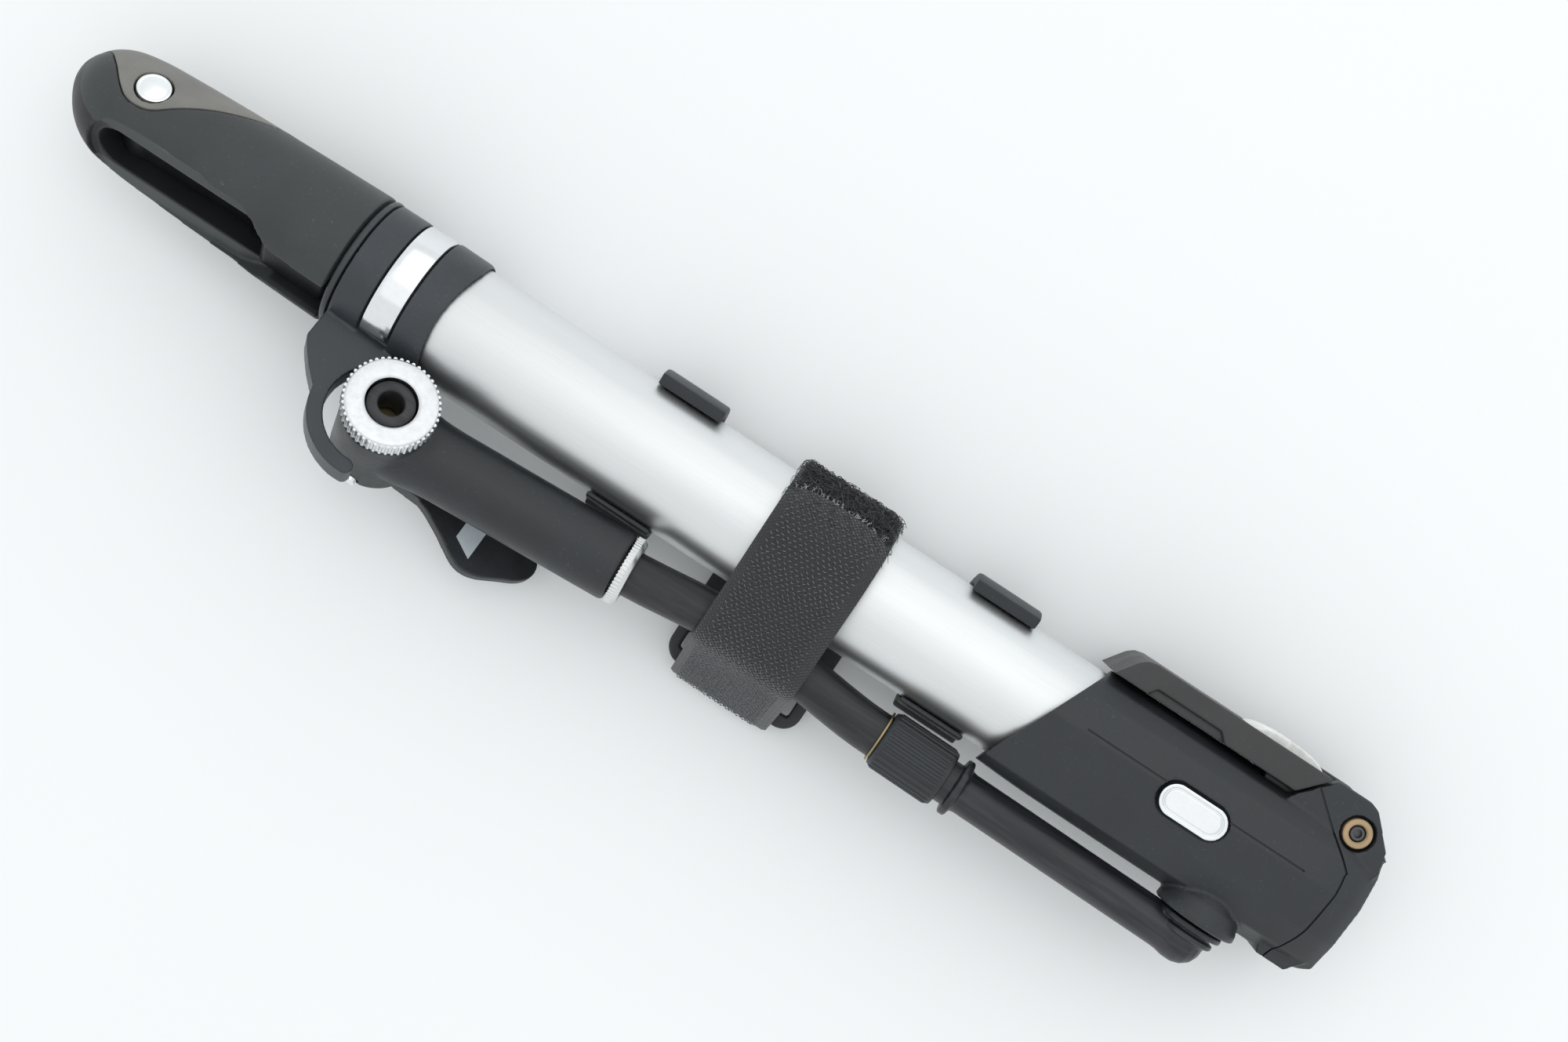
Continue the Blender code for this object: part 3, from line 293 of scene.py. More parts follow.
def tube(name, points, radius, place, sides=32, bore=None):
    """A round tube along points; radius is a number or one for each point."""
    points = [Vector(p) for p in points]
    radii = radius if isinstance(radius, list) else [radius] * len(points)
    bm = bmesh.new()
    outer, inner = [], []
    side = Vector((0, 0, 1))
    for i, point in enumerate(points):
        run = (points[min(i + 1, len(points) - 1)] - points[max(i - 1, 0)]).normalized()
        side = (side - side.dot(run) * run).normalized()
        other = run.cross(side)
        for rows, size in ((outer, radii[i]), (inner, bore)):
            if size:
                turns = [2 * math.pi * k / sides for k in range(sides)]
                rows.append([bm.verts.new(point + size * (math.cos(a) * side + math.sin(a) * other)) for a in turns])
    for rows in (outer, inner):
        for row, after in zip(rows, rows[1:]):
            for k in range(sides):
                j = (k + 1) % sides
                bm.faces.new((row[k], row[j], after[j], after[k]))
    for at in (0, -1):
        if bore:
            for k in range(sides):
                j = (k + 1) % sides
                bm.faces.new((outer[at][k], outer[at][j], inner[at][j], inner[at][k]))
        else:
            bm.faces.new(outer[at])
    return smooth(placed(name, bm, place), 40)


# Shader maths as plain expressions

def arithmetic(operation):
    """A Math node's operator and its reflected form."""
    return (lambda self, other: self.math(operation, self, other),
            lambda self, other: self.math(operation, other, self))


class Value:
    """One output socket, with arithmetic that adds Math nodes."""

    def __init__(self, finish, socket):
        self.finish = finish
        self.socket = socket

    def math(self, operation, *operands):
        return self.finish.node("ShaderNodeMath", {"operation": operation}, dict(enumerate(operands)))

    __add__, __radd__ = arithmetic("ADD")
    __sub__, __rsub__ = arithmetic("SUBTRACT")
    __mul__, __rmul__ = arithmetic("MULTIPLY")
    __truediv__, __rtruediv__ = arithmetic("DIVIDE")

    def sine(self):
        return self.math("SINE", self)

    def root(self):
        return self.math("SQRT", self)

    def size(self):
        """Its distance from zero."""
        return self.math("ABSOLUTE", self)

    def clamp(self, low, high):
        """0 at low, 1 at high, and straight in between."""
        return self.finish.node("ShaderNodeMapRange", {"clamp": True}, {"Value": self, 1: low, 2: high})


class Finish:
    """A material: a Principled shader with constants on its sockets and a few values that vary over it."""

    def __init__(self, name, colour, roughness, **constants):
        self.material = bpy.data.materials.new(name)
        self.material.use_nodes = True
        self.tree = self.material.node_tree
        self.shader = self.tree.nodes["Principled BSDF"]
        self.shader.inputs["Base Color"].default_value = (*colour, 1)
        self.shader.inputs["Roughness"].default_value = roughness
        for key, value in constants.items():
            self.shader.inputs[key.replace("_", " ").title().replace("Ior", "IOR")].default_value = value
        self.heights = []

    def node(self, kind, settings=None, values=None, output=0):
        made = self.tree.nodes.new(kind)
        for key, value in (settings or {}).items():
            setattr(made, key, value)
        for key, value in (values or {}).items():
            if isinstance(value, Value):
                self.tree.links.new(value.socket, made.inputs[key])
            else:
                made.inputs[key].default_value = value
        return Value(self, made.outputs[output])

    def coordinates(self, stretch=(1, 1, 1), turn=(0, 0, 0), origin=(0, 0, 0), uv=False):
        """Object (or UV) coordinates in millimetres, moved to origin, turned and stretched."""
        source = self.node("ShaderNodeTexCoord", output="UV" if uv else "Object")
        moved = self.node("ShaderNodeVectorMath", {"operation": "SUBTRACT"}, {0: source, 1: origin})
        rotated = self.node("ShaderNodeMapping", None, {"Vector": moved, "Rotation": turn})
        return self.node("ShaderNodeVectorMath", {"operation": "MULTIPLY"},
                         {0: rotated, 1: tuple(s / MM for s in stretch)})

    def coordinates_in(self, place):
        """Object coordinates in millimetres, in place's own frame."""
        turn = place.to_3x3().inverted().to_euler()
        return self.coordinates(turn=tuple(turn), origin=tuple(place.translation))

    def noise(self, at, scale, detail=3.0, roughness=0.55):
        return self.node("ShaderNodeTexNoise", None,
                         {"Vector": at, "Scale": scale, "Detail": detail, "Roughness": roughness})

    def part(self, at, axis):
        return self.node("ShaderNodeSeparateXYZ", None, {"Vector": at}, output=axis)

    def mix(self, first, second, factor):
        """A colour between two, either of them a plain colour."""
        pair = {6: first, 7: second}
        values = {key: (*v, 1) if isinstance(v, tuple) else v for key, v in pair.items()}
        return self.node("ShaderNodeMix", {"data_type": "RGBA"}, {0: factor, **values}, output=2)

    def drive(self, name, value):
        self.tree.links.new(value.socket, self.shader.inputs[name])

    def relief(self, height, strength=0.3, distance=0.05):
        """Adds one more layer of bump; distance is in millimetres."""
        values = {"Height": height, "Strength": strength, "Distance": distance * MM}
        if self.heights:
            values["Normal"] = self.heights[-1]
        self.heights.append(self.node("ShaderNodeBump", None, values))
        self.drive("Normal", self.heights[-1])


FINISHES = {}
SLOT_BLACK = (0.006, 0.007, 0.008)
SLOT_HALF = 4.5
SLOT_RIM = 10.1
SLOT_TAPER = 0.036
EVEN = (1.0, 1.0, 1.0)


def finish_named(name):
    return FINISHES[name].material


def dusty_plastic(name, colour, roughness, grain=5.0, grain_depth=0.35, dust=0.35, **constants):
    """Moulded plastic: fine grain, slow patches of handling shine and a little pale dust."""
    made = Finish(name, colour, roughness, **constants)
    at = made.coordinates()
    patches = made.noise(at, 0.09, 4.0)
    specks = made.noise(at, 1.5, 3.0, 0.75).clamp(0.60, 0.74)
    pits = made.noise(at, grain, 3.0, 0.65)
    pale = tuple(min(1.0, c * 1.9 + 0.055) for c in colour)
    dark = tuple(c * 0.82 for c in colour)
    base = made.mix(dark, tuple(c * 1.12 for c in colour), patches.clamp(0.35, 0.65))
    made.tone = made.mix(base, pale, specks * patches.clamp(0.36, 0.66) * dust)
    made.drive("Base Color", made.tone)
    made.drive("Roughness", roughness - 0.1 + 0.2 * patches.clamp(0.3, 0.7) + 0.06 * pits)
    made.relief(pits, grain_depth, 0.06)
    return made


def shaded_slot(made, place):
    """Darkens the inside of the handle's slot, below the shell's rim."""
    at = made.coordinates_in(place)
    x, y, z = (made.part(at, axis) for axis in range(3))
    rim = SLOT_RIM + SLOT_TAPER * x
    deep = (rim - (y * y + z * z).root()).clamp(0.0, 0.7) * (SLOT_HALF + 0.22 - z.size()).clamp(0.0, 0.15)
    made.drive("Base Color", made.mix(made.tone, SLOT_BLACK, deep))
    return made


def satin_metal(name, colour, roughness, streak=(0.05, 3.0, 3.0), depth=0.12, **constants):
    """Metal with a fine directional brush, soft tone bands and small scuffs."""
    made = Finish(name, colour, roughness, metallic=1.0, **constants)
    at = made.coordinates()
    brush = made.noise(made.coordinates(stretch=streak), 1.0, 3.0, 0.6)
    slow = made.noise(at, 0.07, 3.0)
    scuff = made.noise(made.coordinates(stretch=(0.5, 2.4, 2.4)), 0.5, 4.0, 0.75).clamp(0.66, 0.8)
    base = made.mix(tuple(c * 0.94 for c in colour), tuple(min(1, c * 1.05) for c in colour), brush)
    made.drive("Base Color", made.mix(base, tuple(c * 0.8 for c in colour), scuff * 0.35))
    made.drive("Roughness", roughness - 0.05 + 0.08 * brush + 0.06 * slow + 0.12 * scuff)
    made.relief(brush, depth, 0.01)
    return made


def turned_metal(name, colour, roughness, place, pitch=0.35, **constants):
    """Metal with the fine rings of a lathe round place's z axis."""
    made = Finish(name, colour, roughness, metallic=1.0, **constants)
    at = made.coordinates_in(place)
    x, y = made.part(at, 0), made.part(at, 1)
    radius = (x * x + y * y).root()
    rings = (radius * (2 * math.pi / pitch)).sine()
    spots = made.noise(at, 0.6, 4.0, 0.7)
    made.drive("Base Color", made.mix(tuple(c * 0.86 for c in colour), colour, spots.clamp(0.3, 0.6)))
    made.drive("Roughness", roughness + 0.04 * rings + 0.14 * spots)
    made.relief(rings, 0.15, 0.008)
    return made


def soft_rubber(name, colour, roughness, streak=(0.06, 0.9, 0.9), **constants):
    """Smooth rubber with lengthwise bloom and dull patches."""
    made = Finish(name, colour, roughness, **constants)
    bloom = made.noise(made.coordinates(stretch=streak), 1.0, 4.0)
    fine = made.noise(made.coordinates(), 7.0, 2.0)
    pale = tuple(min(1, c * 1.5 + 0.02) for c in colour)
    made.drive("Base Color", made.mix(colour, pale, bloom.clamp(0.4, 0.75)))
    made.drive("Roughness", roughness - 0.06 + 0.22 * bloom + 0.04 * fine)
    made.relief(bloom, 0.12, 0.05)
    made.relief(fine, 0.2, 0.02)
    return made


def woven(name, colour, thread, roughness=0.85):
    """Narrow fabric on UVs in metres: weft ribs across it, warp threads along it and stray pale fibres."""
    made = Finish(name, colour, roughness, sheen_weight=0.35, sheen_roughness=0.5)
    at = made.coordinates(uv=True)
    along, across = made.part(at, 0), made.part(at, 1)
    warp = (across * (2 * math.pi / 0.80)).sine()
    weft = (along * (2 * math.pi / 0.70)).sine()
    weave = warp * weft
    stray = made.noise(made.coordinates(stretch=(1.2, 5.0, 1.0), uv=True), 1.6, 3.0, 0.8).clamp(0.60, 0.74)
    slow = made.noise(at, 0.12, 3.0)
    base = made.mix(tuple(c * 0.55 for c in colour), tuple(c * 1.5 for c in colour), weave.clamp(-0.8, 0.9))
    tone = made.mix(base, tuple(c * 1.25 for c in colour), slow)
    made.drive("Base Color", made.mix(tone, thread, stray * 0.5))
    made.drive("Roughness", roughness - 0.12 + 0.14 * weave.clamp(-1, 1))
    made.relief(weave, 0.75, 0.11)
    made.relief(weft, 0.35, 0.05)
    return made


def make_finishes(colours):
    black = tuple(colours.plastic)
    FINISHES.update({
        "grip": shaded_slot(dusty_plastic("grip", tuple(colours.grip), 0.52, 2.2, 0.45, 0.55, sheen_weight=0.06),
                            HANDLE),
        "accent": dusty_plastic("accent", tuple(colours.accent), 0.55, 2.6, 0.4, 0.25),
        "plastic": dusty_plastic("plastic", black, 0.44, 2.4, 0.5, 0.5),
        "collar": dusty_plastic("collar", tuple(c * 1.5 for c in black), 0.36, 2.6, 0.35, 0.55),
        "head": dusty_plastic("head", tuple(c * 0.9 for c in black), 0.42, 1.7, 0.8, 0.6),
        "foot": dusty_plastic("foot", tuple(colours.foot), 0.46, 2.4, 0.45, 0.4),
        "arm": dusty_plastic("arm", (0.007, 0.008, 0.009), 0.32, 2.0, 0.2, 0.3, specular_ior_level=0.25),
        "barrel": satin_metal("barrel", tuple(colours.metal), 0.40, anisotropic=0.4),
        "chrome": satin_metal("chrome", (0.82, 0.835, 0.845), 0.13, EVEN, 0.03),
        "pin": satin_metal("pin", (0.90, 0.915, 0.92), 0.30, EVEN, 0.05),
        "nut": turned_metal("nut", (0.79, 0.80, 0.81), 0.28, HEAD),
        "knurl": satin_metal("knurl", (0.72, 0.73, 0.725), 0.26, EVEN, 0.1),
        "steel": turned_metal("steel", (0.11, 0.11, 0.115), 0.38, HINGE),
        "brass": satin_metal("brass", (0.36, 0.28, 0.15), 0.3, EVEN, 0.1),
        "bronze": dusty_plastic("bronze", tuple(colours.sleeve), 0.5, 3.0, 0.3, 0.2, metallic=0.25),
        "rubber": soft_rubber("rubber", (0.018, 0.019, 0.021), 0.5),
        "hose": soft_rubber("hose", (0.006, 0.007, 0.009), 0.34),
        "pipe": soft_rubber("pipe", (0.010, 0.011, 0.015), 0.32),
        "cream": soft_rubber("cream", tuple(colours.rubber), 0.6, (0.5, 0.5, 0.5)),
        "nylon": dusty_plastic("nylon", (0.72, 0.71, 0.67), 0.45, 4.0, 0.2, 0.1),
        "label": dusty_plastic("label", (0.60, 0.67, 0.71), 0.4, 2.0, 0.15, 0.4),
        "tape": woven("tape", tuple(colours.strap), (0.38, 0.39, 0.40)),
        "hooks": dusty_plastic("hooks", tuple(c * 4.0 + 0.06 for c in colours.strap), 0.4, 2.0, 0.1, 0.3),
        "pile": dusty_plastic("pile", tuple(colours.pile), 0.8, 1.5, 0.2, 0.6, sheen_weight=0.3),
        "thread": dusty_plastic("thread", (0.62, 0.63, 0.64), 0.6, 2.0, 0.2, 0.1),
    })


# Geometry Nodes

class Tree:
    """A geometry tree built in code; it ends in Realize Instances and Set Material."""

    def __init__(self, name, inputs):
        self.tree = bpy.data.node_groups.new(name, "GeometryNodeTree")
        interface = self.tree.interface
        interface.new_socket("Geometry", in_out="INPUT", socket_type="NodeSocketGeometry")
        for label, kind in inputs:
            interface.new_socket(label, in_out="INPUT", socket_type=kind)
        interface.new_socket("Geometry", in_out="OUTPUT", socket_type="NodeSocketGeometry")
        self.source = self.tree.nodes.new("NodeGroupInput")

    def given(self, label):
        return self.source.outputs[label]

    def node(self, kind, values=None, output=0, **settings):
        made = self.tree.nodes.new(kind)
        for key, value in settings.items():
            setattr(made, key, value)
        for key, value in (values or {}).items():
            if isinstance(value, bpy.types.NodeSocket):
                self.tree.links.new(value, made.inputs[key])
            else:
                made.inputs[key].default_value = value
        return made.outputs[output]

    def math(self, operation, *operands):
        return self.node("ShaderNodeMath", dict(enumerate(operands)), operation=operation)

    def vector(self, **parts):
        return self.node("ShaderNodeCombineXYZ", parts)

    def strand(self, thickness, resolution, sides, **handles):
        """A thin bent rod along a Bezier segment from the origin."""
        values = {key.replace("_", " "): value for key, value in handles.items()}
        line = self.node("GeometryNodeCurvePrimitiveBezierSegment", {
            "Resolution": resolution, "Start": (0, 0, 0), **values})
        shape = self.node("GeometryNodeCurvePrimitiveCircle", {"Resolution": sides, "Radius": thickness})
        return self.node("GeometryNodeCurveToMesh", {"Curve": line, "Profile Curve": shape, "Fill Caps": True})

    def jitter(self, low, high, seed):
        return self.node("FunctionNodeRandomValue", {0: low, 1: high, "Seed": seed}, data_type="FLOAT_VECTOR")

    def lean(self, rotation, by):
        return self.node("FunctionNodeRotateEuler", {"Rotation": rotation, "Rotate By": by},
                         rotation_type="EULER", space="LOCAL")

    def finish(self, geometry, material):
        real = self.node("GeometryNodeRealizeInstances", {0: geometry})
        done = self.node("GeometryNodeSetMaterial", {"Geometry": real, "Material": material})
        out = self.tree.nodes.new("NodeGroupOutput")
        self.tree.links.new(done, out.inputs[0])
        return self.tree

    def apply(self, obj, **values):
        """Runs the tree on obj with its inputs set by identifier, and keeps the plain mesh."""
        modifier = obj.modifiers.new(self.tree.name, "NODES")
        modifier.node_group = self.tree
        sockets = {item.name: item.identifier for item in self.tree.interface.items_tree if item.in_out == "INPUT"}
        for label, value in values.items():
            modifier[sockets[label]] = value
        return baked(obj)


def ridge_tree():
    """Small ridges standing round a circle, parallel to its axis."""
    tree = Tree("ridges", [("Count", "NodeSocketInt"), ("Radius", "NodeSocketFloat"), ("Width", "NodeSocketFloat"),
                           ("Length", "NodeSocketFloat"), ("Finish", "NodeSocketMaterial")])
    circle = tree.node("GeometryNodeMeshCircle", {"Vertices": tree.given("Count"), "Radius": tree.given("Radius")})
    index = tree.node("GeometryNodeInputIndex")
    step = tree.math("DIVIDE", 2 * math.pi, tree.given("Count"))
    turn = tree.vector(Z=tree.math("MULTIPLY", index, step))
    long = tree.node("GeometryNodeMeshCylinder", {
        "Vertices": 10, "Radius": tree.given("Width"), "Depth": tree.given("Length")})
    tip_radius = tree.math("MULTIPLY", tree.given("Width"), 0.6)
    tip_length = tree.math("MULTIPLY", tree.given("Length"), 1.06)
    tips = tree.node("GeometryNodeMeshCylinder", {"Vertices": 10, "Radius": tip_radius, "Depth": tip_length})
    ridge = tree.tree.nodes.new("GeometryNodeJoinGeometry")
    tree.tree.links.new(long, ridge.inputs[0])
    tree.tree.links.new(tips, ridge.inputs[0])
    points = tree.node("GeometryNodeInstanceOnPoints", {
        "Points": circle, "Instance": ridge.outputs[0], "Rotation": turn})
    tree.finish(points, tree.given("Finish"))
    return tree


def ridges(name, count, radius, width, length, middle, place, finish):
    """Ridges round place's z axis, centred at middle along it, as one mesh."""
    mesh = bpy.data.meshes.new(name)
    obj = bpy.data.objects.new(name, mesh)
    bpy.context.scene.collection.objects.link(obj)
    TREES["ridges"].apply(obj, Count=count, Radius=radius * MM, Width=width * MM, Length=length * MM,
                          Finish=finish_named(finish))
    obj.data.transform(place @ Matrix.Translation((0, 0, middle * MM)))
    return smooth(obj, 40)


def fibre_tree():
    """Bent fibres scattered over a patch, leaning every way off its surface."""
    tree = Tree("fibres", [("Density", "NodeSocketFloat"), ("Length", "NodeSocketFloat"),
                           ("Thickness", "NodeSocketFloat"), ("Lean", "NodeSocketFloat"), ("Bend", "NodeSocketFloat"),
                           ("Seed", "NodeSocketInt"), ("Finish", "NodeSocketMaterial")])
    spread = tree.tree.nodes.new("GeometryNodeDistributePointsOnFaces")
    for label in ("Density", "Seed"):
        tree.tree.links.new(tree.given(label), spread.inputs[label])
    tree.tree.links.new(tree.given("Geometry"), spread.inputs["Mesh"])
    length, bend, most = (tree.given(label) for label in ("Length", "Bend", "Lean"))
    strand = tree.strand(tree.given("Thickness"), 5, 3, Start_Handle=tree.vector(Z=length),
                         End_Handle=tree.vector(X=bend, Z=length), End=tree.vector(X=bend, Y=bend))
    least = tree.math("SUBTRACT", 0.0, most)
    lean = tree.jitter(tree.vector(X=least, Y=least, Z=0.0), tree.vector(X=most, Y=most, Z=6.283), tree.given("Seed"))
    rotation = tree.lean(spread.outputs["Rotation"], lean)
    size = tree.node("FunctionNodeRandomValue", {2: 0.5, 3: 1.3, "Seed": 7}, output=1, data_type="FLOAT")
    placed_points = tree.node("GeometryNodeInstanceOnPoints", {
        "Points": spread.outputs["Points"], "Instance": strand, "Rotation": rotation, "Scale": size})
    tree.finish(placed_points, tree.given("Finish"))
    return tree


def hook_tree():
    """One small hook on every vertex of a grid, standing on its normal and leaning along the tape."""
    tree = Tree("hooks", [("Height", "NodeSocketFloat"), ("Thickness", "NodeSocketFloat"),
                          ("Finish", "NodeSocketMaterial")])
    height = tree.given("Height")
    over, down = tree.math("MULTIPLY", height, 1.1), tree.math("MULTIPLY", height, 0.35)
    hook = tree.strand(tree.given("Thickness"), 4, 4, Start_Handle=tree.vector(Z=height),
                       End_Handle=tree.vector(X=over, Z=over), End=tree.vector(X=over, Z=down))
    normal = tree.node("GeometryNodeInputNormal")
    stand = tree.node("FunctionNodeAlignEulerToVector", {"Vector": normal}, axis="Z")
    turn = tree.lean(stand, tree.jitter((-0.25, -0.25, -0.6), (0.25, 0.25, 0.6), 3))
    points = tree.node("GeometryNodeInstanceOnPoints", {
        "Points": tree.given("Geometry"), "Instance": hook, "Rotation": turn})
    tree.finish(points, tree.given("Finish"))
    return tree


TREES = {}


def done(obj, finish, body, slot, *nodes):
    """Gives a piece its finish and its body, and hides the CAD nodes that it stands for. The slot argument is not
    used.
    """
    obj.data.materials.clear()
    obj.data.materials.append(finish_named(finish))
    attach(obj, body)
    if nodes:
        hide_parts(*nodes)
    return obj


# Sizes and colours a user would change

class PumpSizes(bpy.types.PropertyGroup):
    """Sizes that shape the visible pieces"""

    barrel_radius: FloatProperty(name="Barrel radius", description="Outside radius of the barrel",
                                 default=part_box("barrel")[1].y, unit="LENGTH", precision=4)
    nut_ridges: IntProperty(name="Nut ridges", description="Ridges round the valve nut", default=48, min=12)
    union_ribs: IntProperty(name="Union ribs", description="Ribs round the hose's union nut", default=26, min=8)
    ring_ridges: IntProperty(name="Ring ridges", description="Ridges round the coupling ring", default=56, min=12)
    pile_density: FloatProperty(name="Pile density", description="Fibres in a square metre of pile",
                                default=17e6, min=0.0)
    pile_height: FloatProperty(name="Pile height", description="Length of a pile fibre", default=0.0019,
                               unit="LENGTH", precision=4)
    hook_rows: FloatProperty(name="Hook pitch", description="Distance between rows of hooks", default=0.00072,
                             unit="LENGTH", precision=5)


def colour_property(name, description, default):
    return FloatVectorProperty(name=name, description=description, default=default, subtype="COLOR",
                               min=0.0, max=1.0)


class PumpColours(bpy.types.PropertyGroup):
    """Colours of the main finishes"""

    grip: colour_property("Grip", "Soft-touch handle", (0.034, 0.039, 0.041))
    accent: colour_property("Accent", "Warm grey inlay of the handle", (0.190, 0.186, 0.172))
    plastic: colour_property("Plastic", "Black moulded plastic", (0.021, 0.024, 0.028))
    foot: colour_property("Foot", "Foot rest", (0.036, 0.037, 0.037))
    metal: colour_property("Barrel", "Anodised barrel", (0.79, 0.805, 0.81))
    sleeve: colour_property("Sleeve", "Bronze hinge sleeve", (0.42, 0.30, 0.17))
    rubber: colour_property("Rubber", "Foot rest's rubber", (0.74, 0.755, 0.72))
    strap: colour_property("Strap", "Woven tape", (0.020, 0.022, 0.025))
    pile: colour_property("Pile", "Fuzzy side of the tape", (0.005, 0.006, 0.012))


def sizes():
    return bpy.context.scene.pump_sizes


# Barrel, collar and rod guide

COLLAR_RADIUS = 12.2
BAND = (-65.4, -60.0)


class PUMP_OT_barrel(bpy.types.Operator):
    """Build the barrel, its rod and the rod's guide"""

    bl_idname = "pump.barrel"
    bl_label = "Barrel and rod"

    def execute(self, context):
        radius = sizes().barrel_radius / MM
        low, high = (corner.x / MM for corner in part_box("barrel"))
        barrel = lathe("barrel_tube", [
            (low, 8.7), (low, 9.9), (-57.2, 9.9), (-56.8, 10.1), (-55.8, radius - 0.15), (-55.4, radius),
            (high - 0.2, radius), (high, radius - 0.2), (high, 10.0), (-55.2, 10.0), (-56.5, 8.7),
        ], AXIS_X, 160)
        done(barrel, "barrel", "pump_body", "barrel_metal", "barrel")
        start, end = (corner.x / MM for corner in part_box("piston_rod"))
        shaft = lathe("piston_shaft", disc(start, end, 3.2, 0.4), AXIS_X, 64)
        done(shaft, "barrel", "rod_assembly", "barrel_metal", "piston_rod")
        cap = lathe("guide_cap", [
            (-73.1, 6.7), (-73.1, 11.7), (-73.0, 12.0), (-72.7, 12.3), (-72.55, 12.35), (-72.1, 12.35), (-71.9, 12.3),
            (-71.8, 12.1), (-71.8, 8.3), (-60.0, 8.3), (-60.0, 6.7), (-70.4, 6.7), (-70.4, 4.6), (-71.2, 4.6),
            (-71.2, 6.7),
        ], AXIS_X, 128)
        done(cap, "collar", "pump_body", "black_plastic", "rod_guide_cap")
        return {"FINISHED"}


def cradle_plate():
    """The collar's arm: a plate square to the head's axis, ending in an open C round the head."""
    centre, outer, inner = (-0.8, -1.6), 12.0, 9.2
    outline = [(-22, 10.2), (-22, 6.2), (-20.1, 6.2)]
    outline += curve_through([(-20.1, 6.2), (-18.0, 2.2), (-14.6, -1.9)], 4)[1:-1]
    outline += arc(centre, outer, 190, 274, 28)
    outline += arc((centre[0] + 0.55, centre[1] - (outer + inner) / 2), (outer - inner) / 2, -85, 85, 8)
    outline += arc(centre, inner, 274, 118, 48)
    outline += [(-5.6, 10.2)]
    return prism("cradle_plate", outline, -9.2, -4.6, HEAD)


class PUMP_OT_collar(bpy.types.Operator):
    """Build the collar with the head's cradle, and the bright band in its groove"""

    bl_idname = "pump.collar"
    bl_label = "Collar and band"

    def execute(self, context):
        radius = COLLAR_RADIUS
        collar = lathe("collar_core", [
            (-71.5, 10.3), (-71.5, radius), (BAND[0] - 0.35, radius), (BAND[0] - 0.35, 11.2), (BAND[1] + 0.35, 11.2),
            (BAND[1] + 0.35, radius), (-53.4, radius - 0.1), (-52.7, radius - 0.45), (-52.6, 11.55), (-56.0, 11.55),
            (-57.3, 10.3),
        ], AXIS_X, 160)
        fill = lathe("groove_fill", ring(BAND[0] - 1, BAND[1] + 1, 10.8, radius - 0.02, 0.01), AXIS_X, 160)
        side = block("groove_side", (BAND[0] - 3, -20, -20), (BAND[1] + 3, -9.9, 12), BARREL)
        join(collar, overlap(fill, side), cradle_plate())
        scallop = rod("scallop", (-14.2, -1, 2), (-14.2, -1, 30), 40.0, BARREL, 200)
        past_end = block("past_end", (-90, -40, -40), (-71.5, 40, 40), BARREL)
        cut(collar, scallop, past_end)
        moulded(collar, 0.22, 5, 0.45)
        collar.name = "collar_and_cradle"
        done(collar, "collar", "pump_body", "black_plastic", "head_cradle_collar")
        band = lathe("bright_band", [
            (BAND[0], 11.5), (BAND[0], 11.95), (BAND[0] + 0.12, 12.12), (BAND[0] + 0.35, 12.2), (BAND[1] - 0.35, 12.2),
            (BAND[1] - 0.12, 12.12), (BAND[1], 11.95), (BAND[1], 11.5),
        ], AXIS_X, 140, (135, 404))
        done(band, "chrome", "pump_body", "chrome", "collar_band")
        return {"FINISHED"}


# Handle

HANDLE_RADII = (
    (-73.6, 12.4), (-90.0, 11.95), (-105.0, 11.4), (-115.0, 10.85), (-120.0, 10.2),
    (-124.0, 9.1), (-127.0, 7.4), (-129.2, 5.2), (-130.7, 2.9), (-131.3, 0.9),
)
NOSE_START = -112.0
NOSE_OFFSET = 1.6


def handle_rings(inset=0.0, steps=96):
    """The handle's rings along its pin's frame, leaning away from the slot at the nose."""
    rings = []
    for place, radius in curve_through(HANDLE_RADII, 5):
        lean = 0.0
        if place < NOSE_START:
            lean = NOSE_OFFSET * ((NOSE_START - place) / (NOSE_START - HANDLE_RADII[-1][0])) ** 2
        size = max(radius - inset, 0.2)
        x = place - PIN_X + max(0.0, inset) * 0.9 * max(0.0, 1 - radius / 11.0)
        turns = [2 * math.pi * (i + 0.5) / steps for i in range(steps)]
        rings.append([(x, size * math.cos(a) + lean, size * math.sin(a)) for a in turns])
    if inset > 0:
        rings.insert(0, [(p[0] + 2, p[1], p[2]) for p in rings[0]])
    return rings


def accent_petal(grow):
    """The inlay's leaf shape round the pin, as a deep prism."""
    edge = [(-16.5, 3.4), (-12.0, 4.2), (-8.6, 1.4), (-5.4, -2.0), (-2.8, -3.9), (0.0, -4.3), (2.6, -3.6),
            (5.6, -1.2), (9.5, 1.8), (14.0, 4.8), (19.0, 8.0), (23.5, 10.6), (25.5, 12.6)]
    line = [(x, y - grow) for x, y in curve_through(edge, 5)]
    outline = line + [(25.5 + grow, 16), (-18, 16), (-18, 3.2 - grow)]
    return prism("petal", outline, -20, 20, HANDLE)


def accent_skin(name, depth, grow, proud):
    """The part of the handle's skin under the inlay, from depth below it to proud above it."""
    skin = loft(name, handle_rings(-proud), HANDLE)
    cut(skin, loft("core", handle_rings(depth), HANDLE))
    return overlap(skin, accent_petal(grow))


def slot_cutter():
    """The arm's slot, its nose end rounded in plan."""
    outline = [(60, -SLOT_HALF), (60, SLOT_HALF)] + arc((-0.6, 0), SLOT_HALF, 90, 270, 24)
    side = HANDLE @ turned(90, "X")
    return prism("slot", outline, -4.9, 20, side)


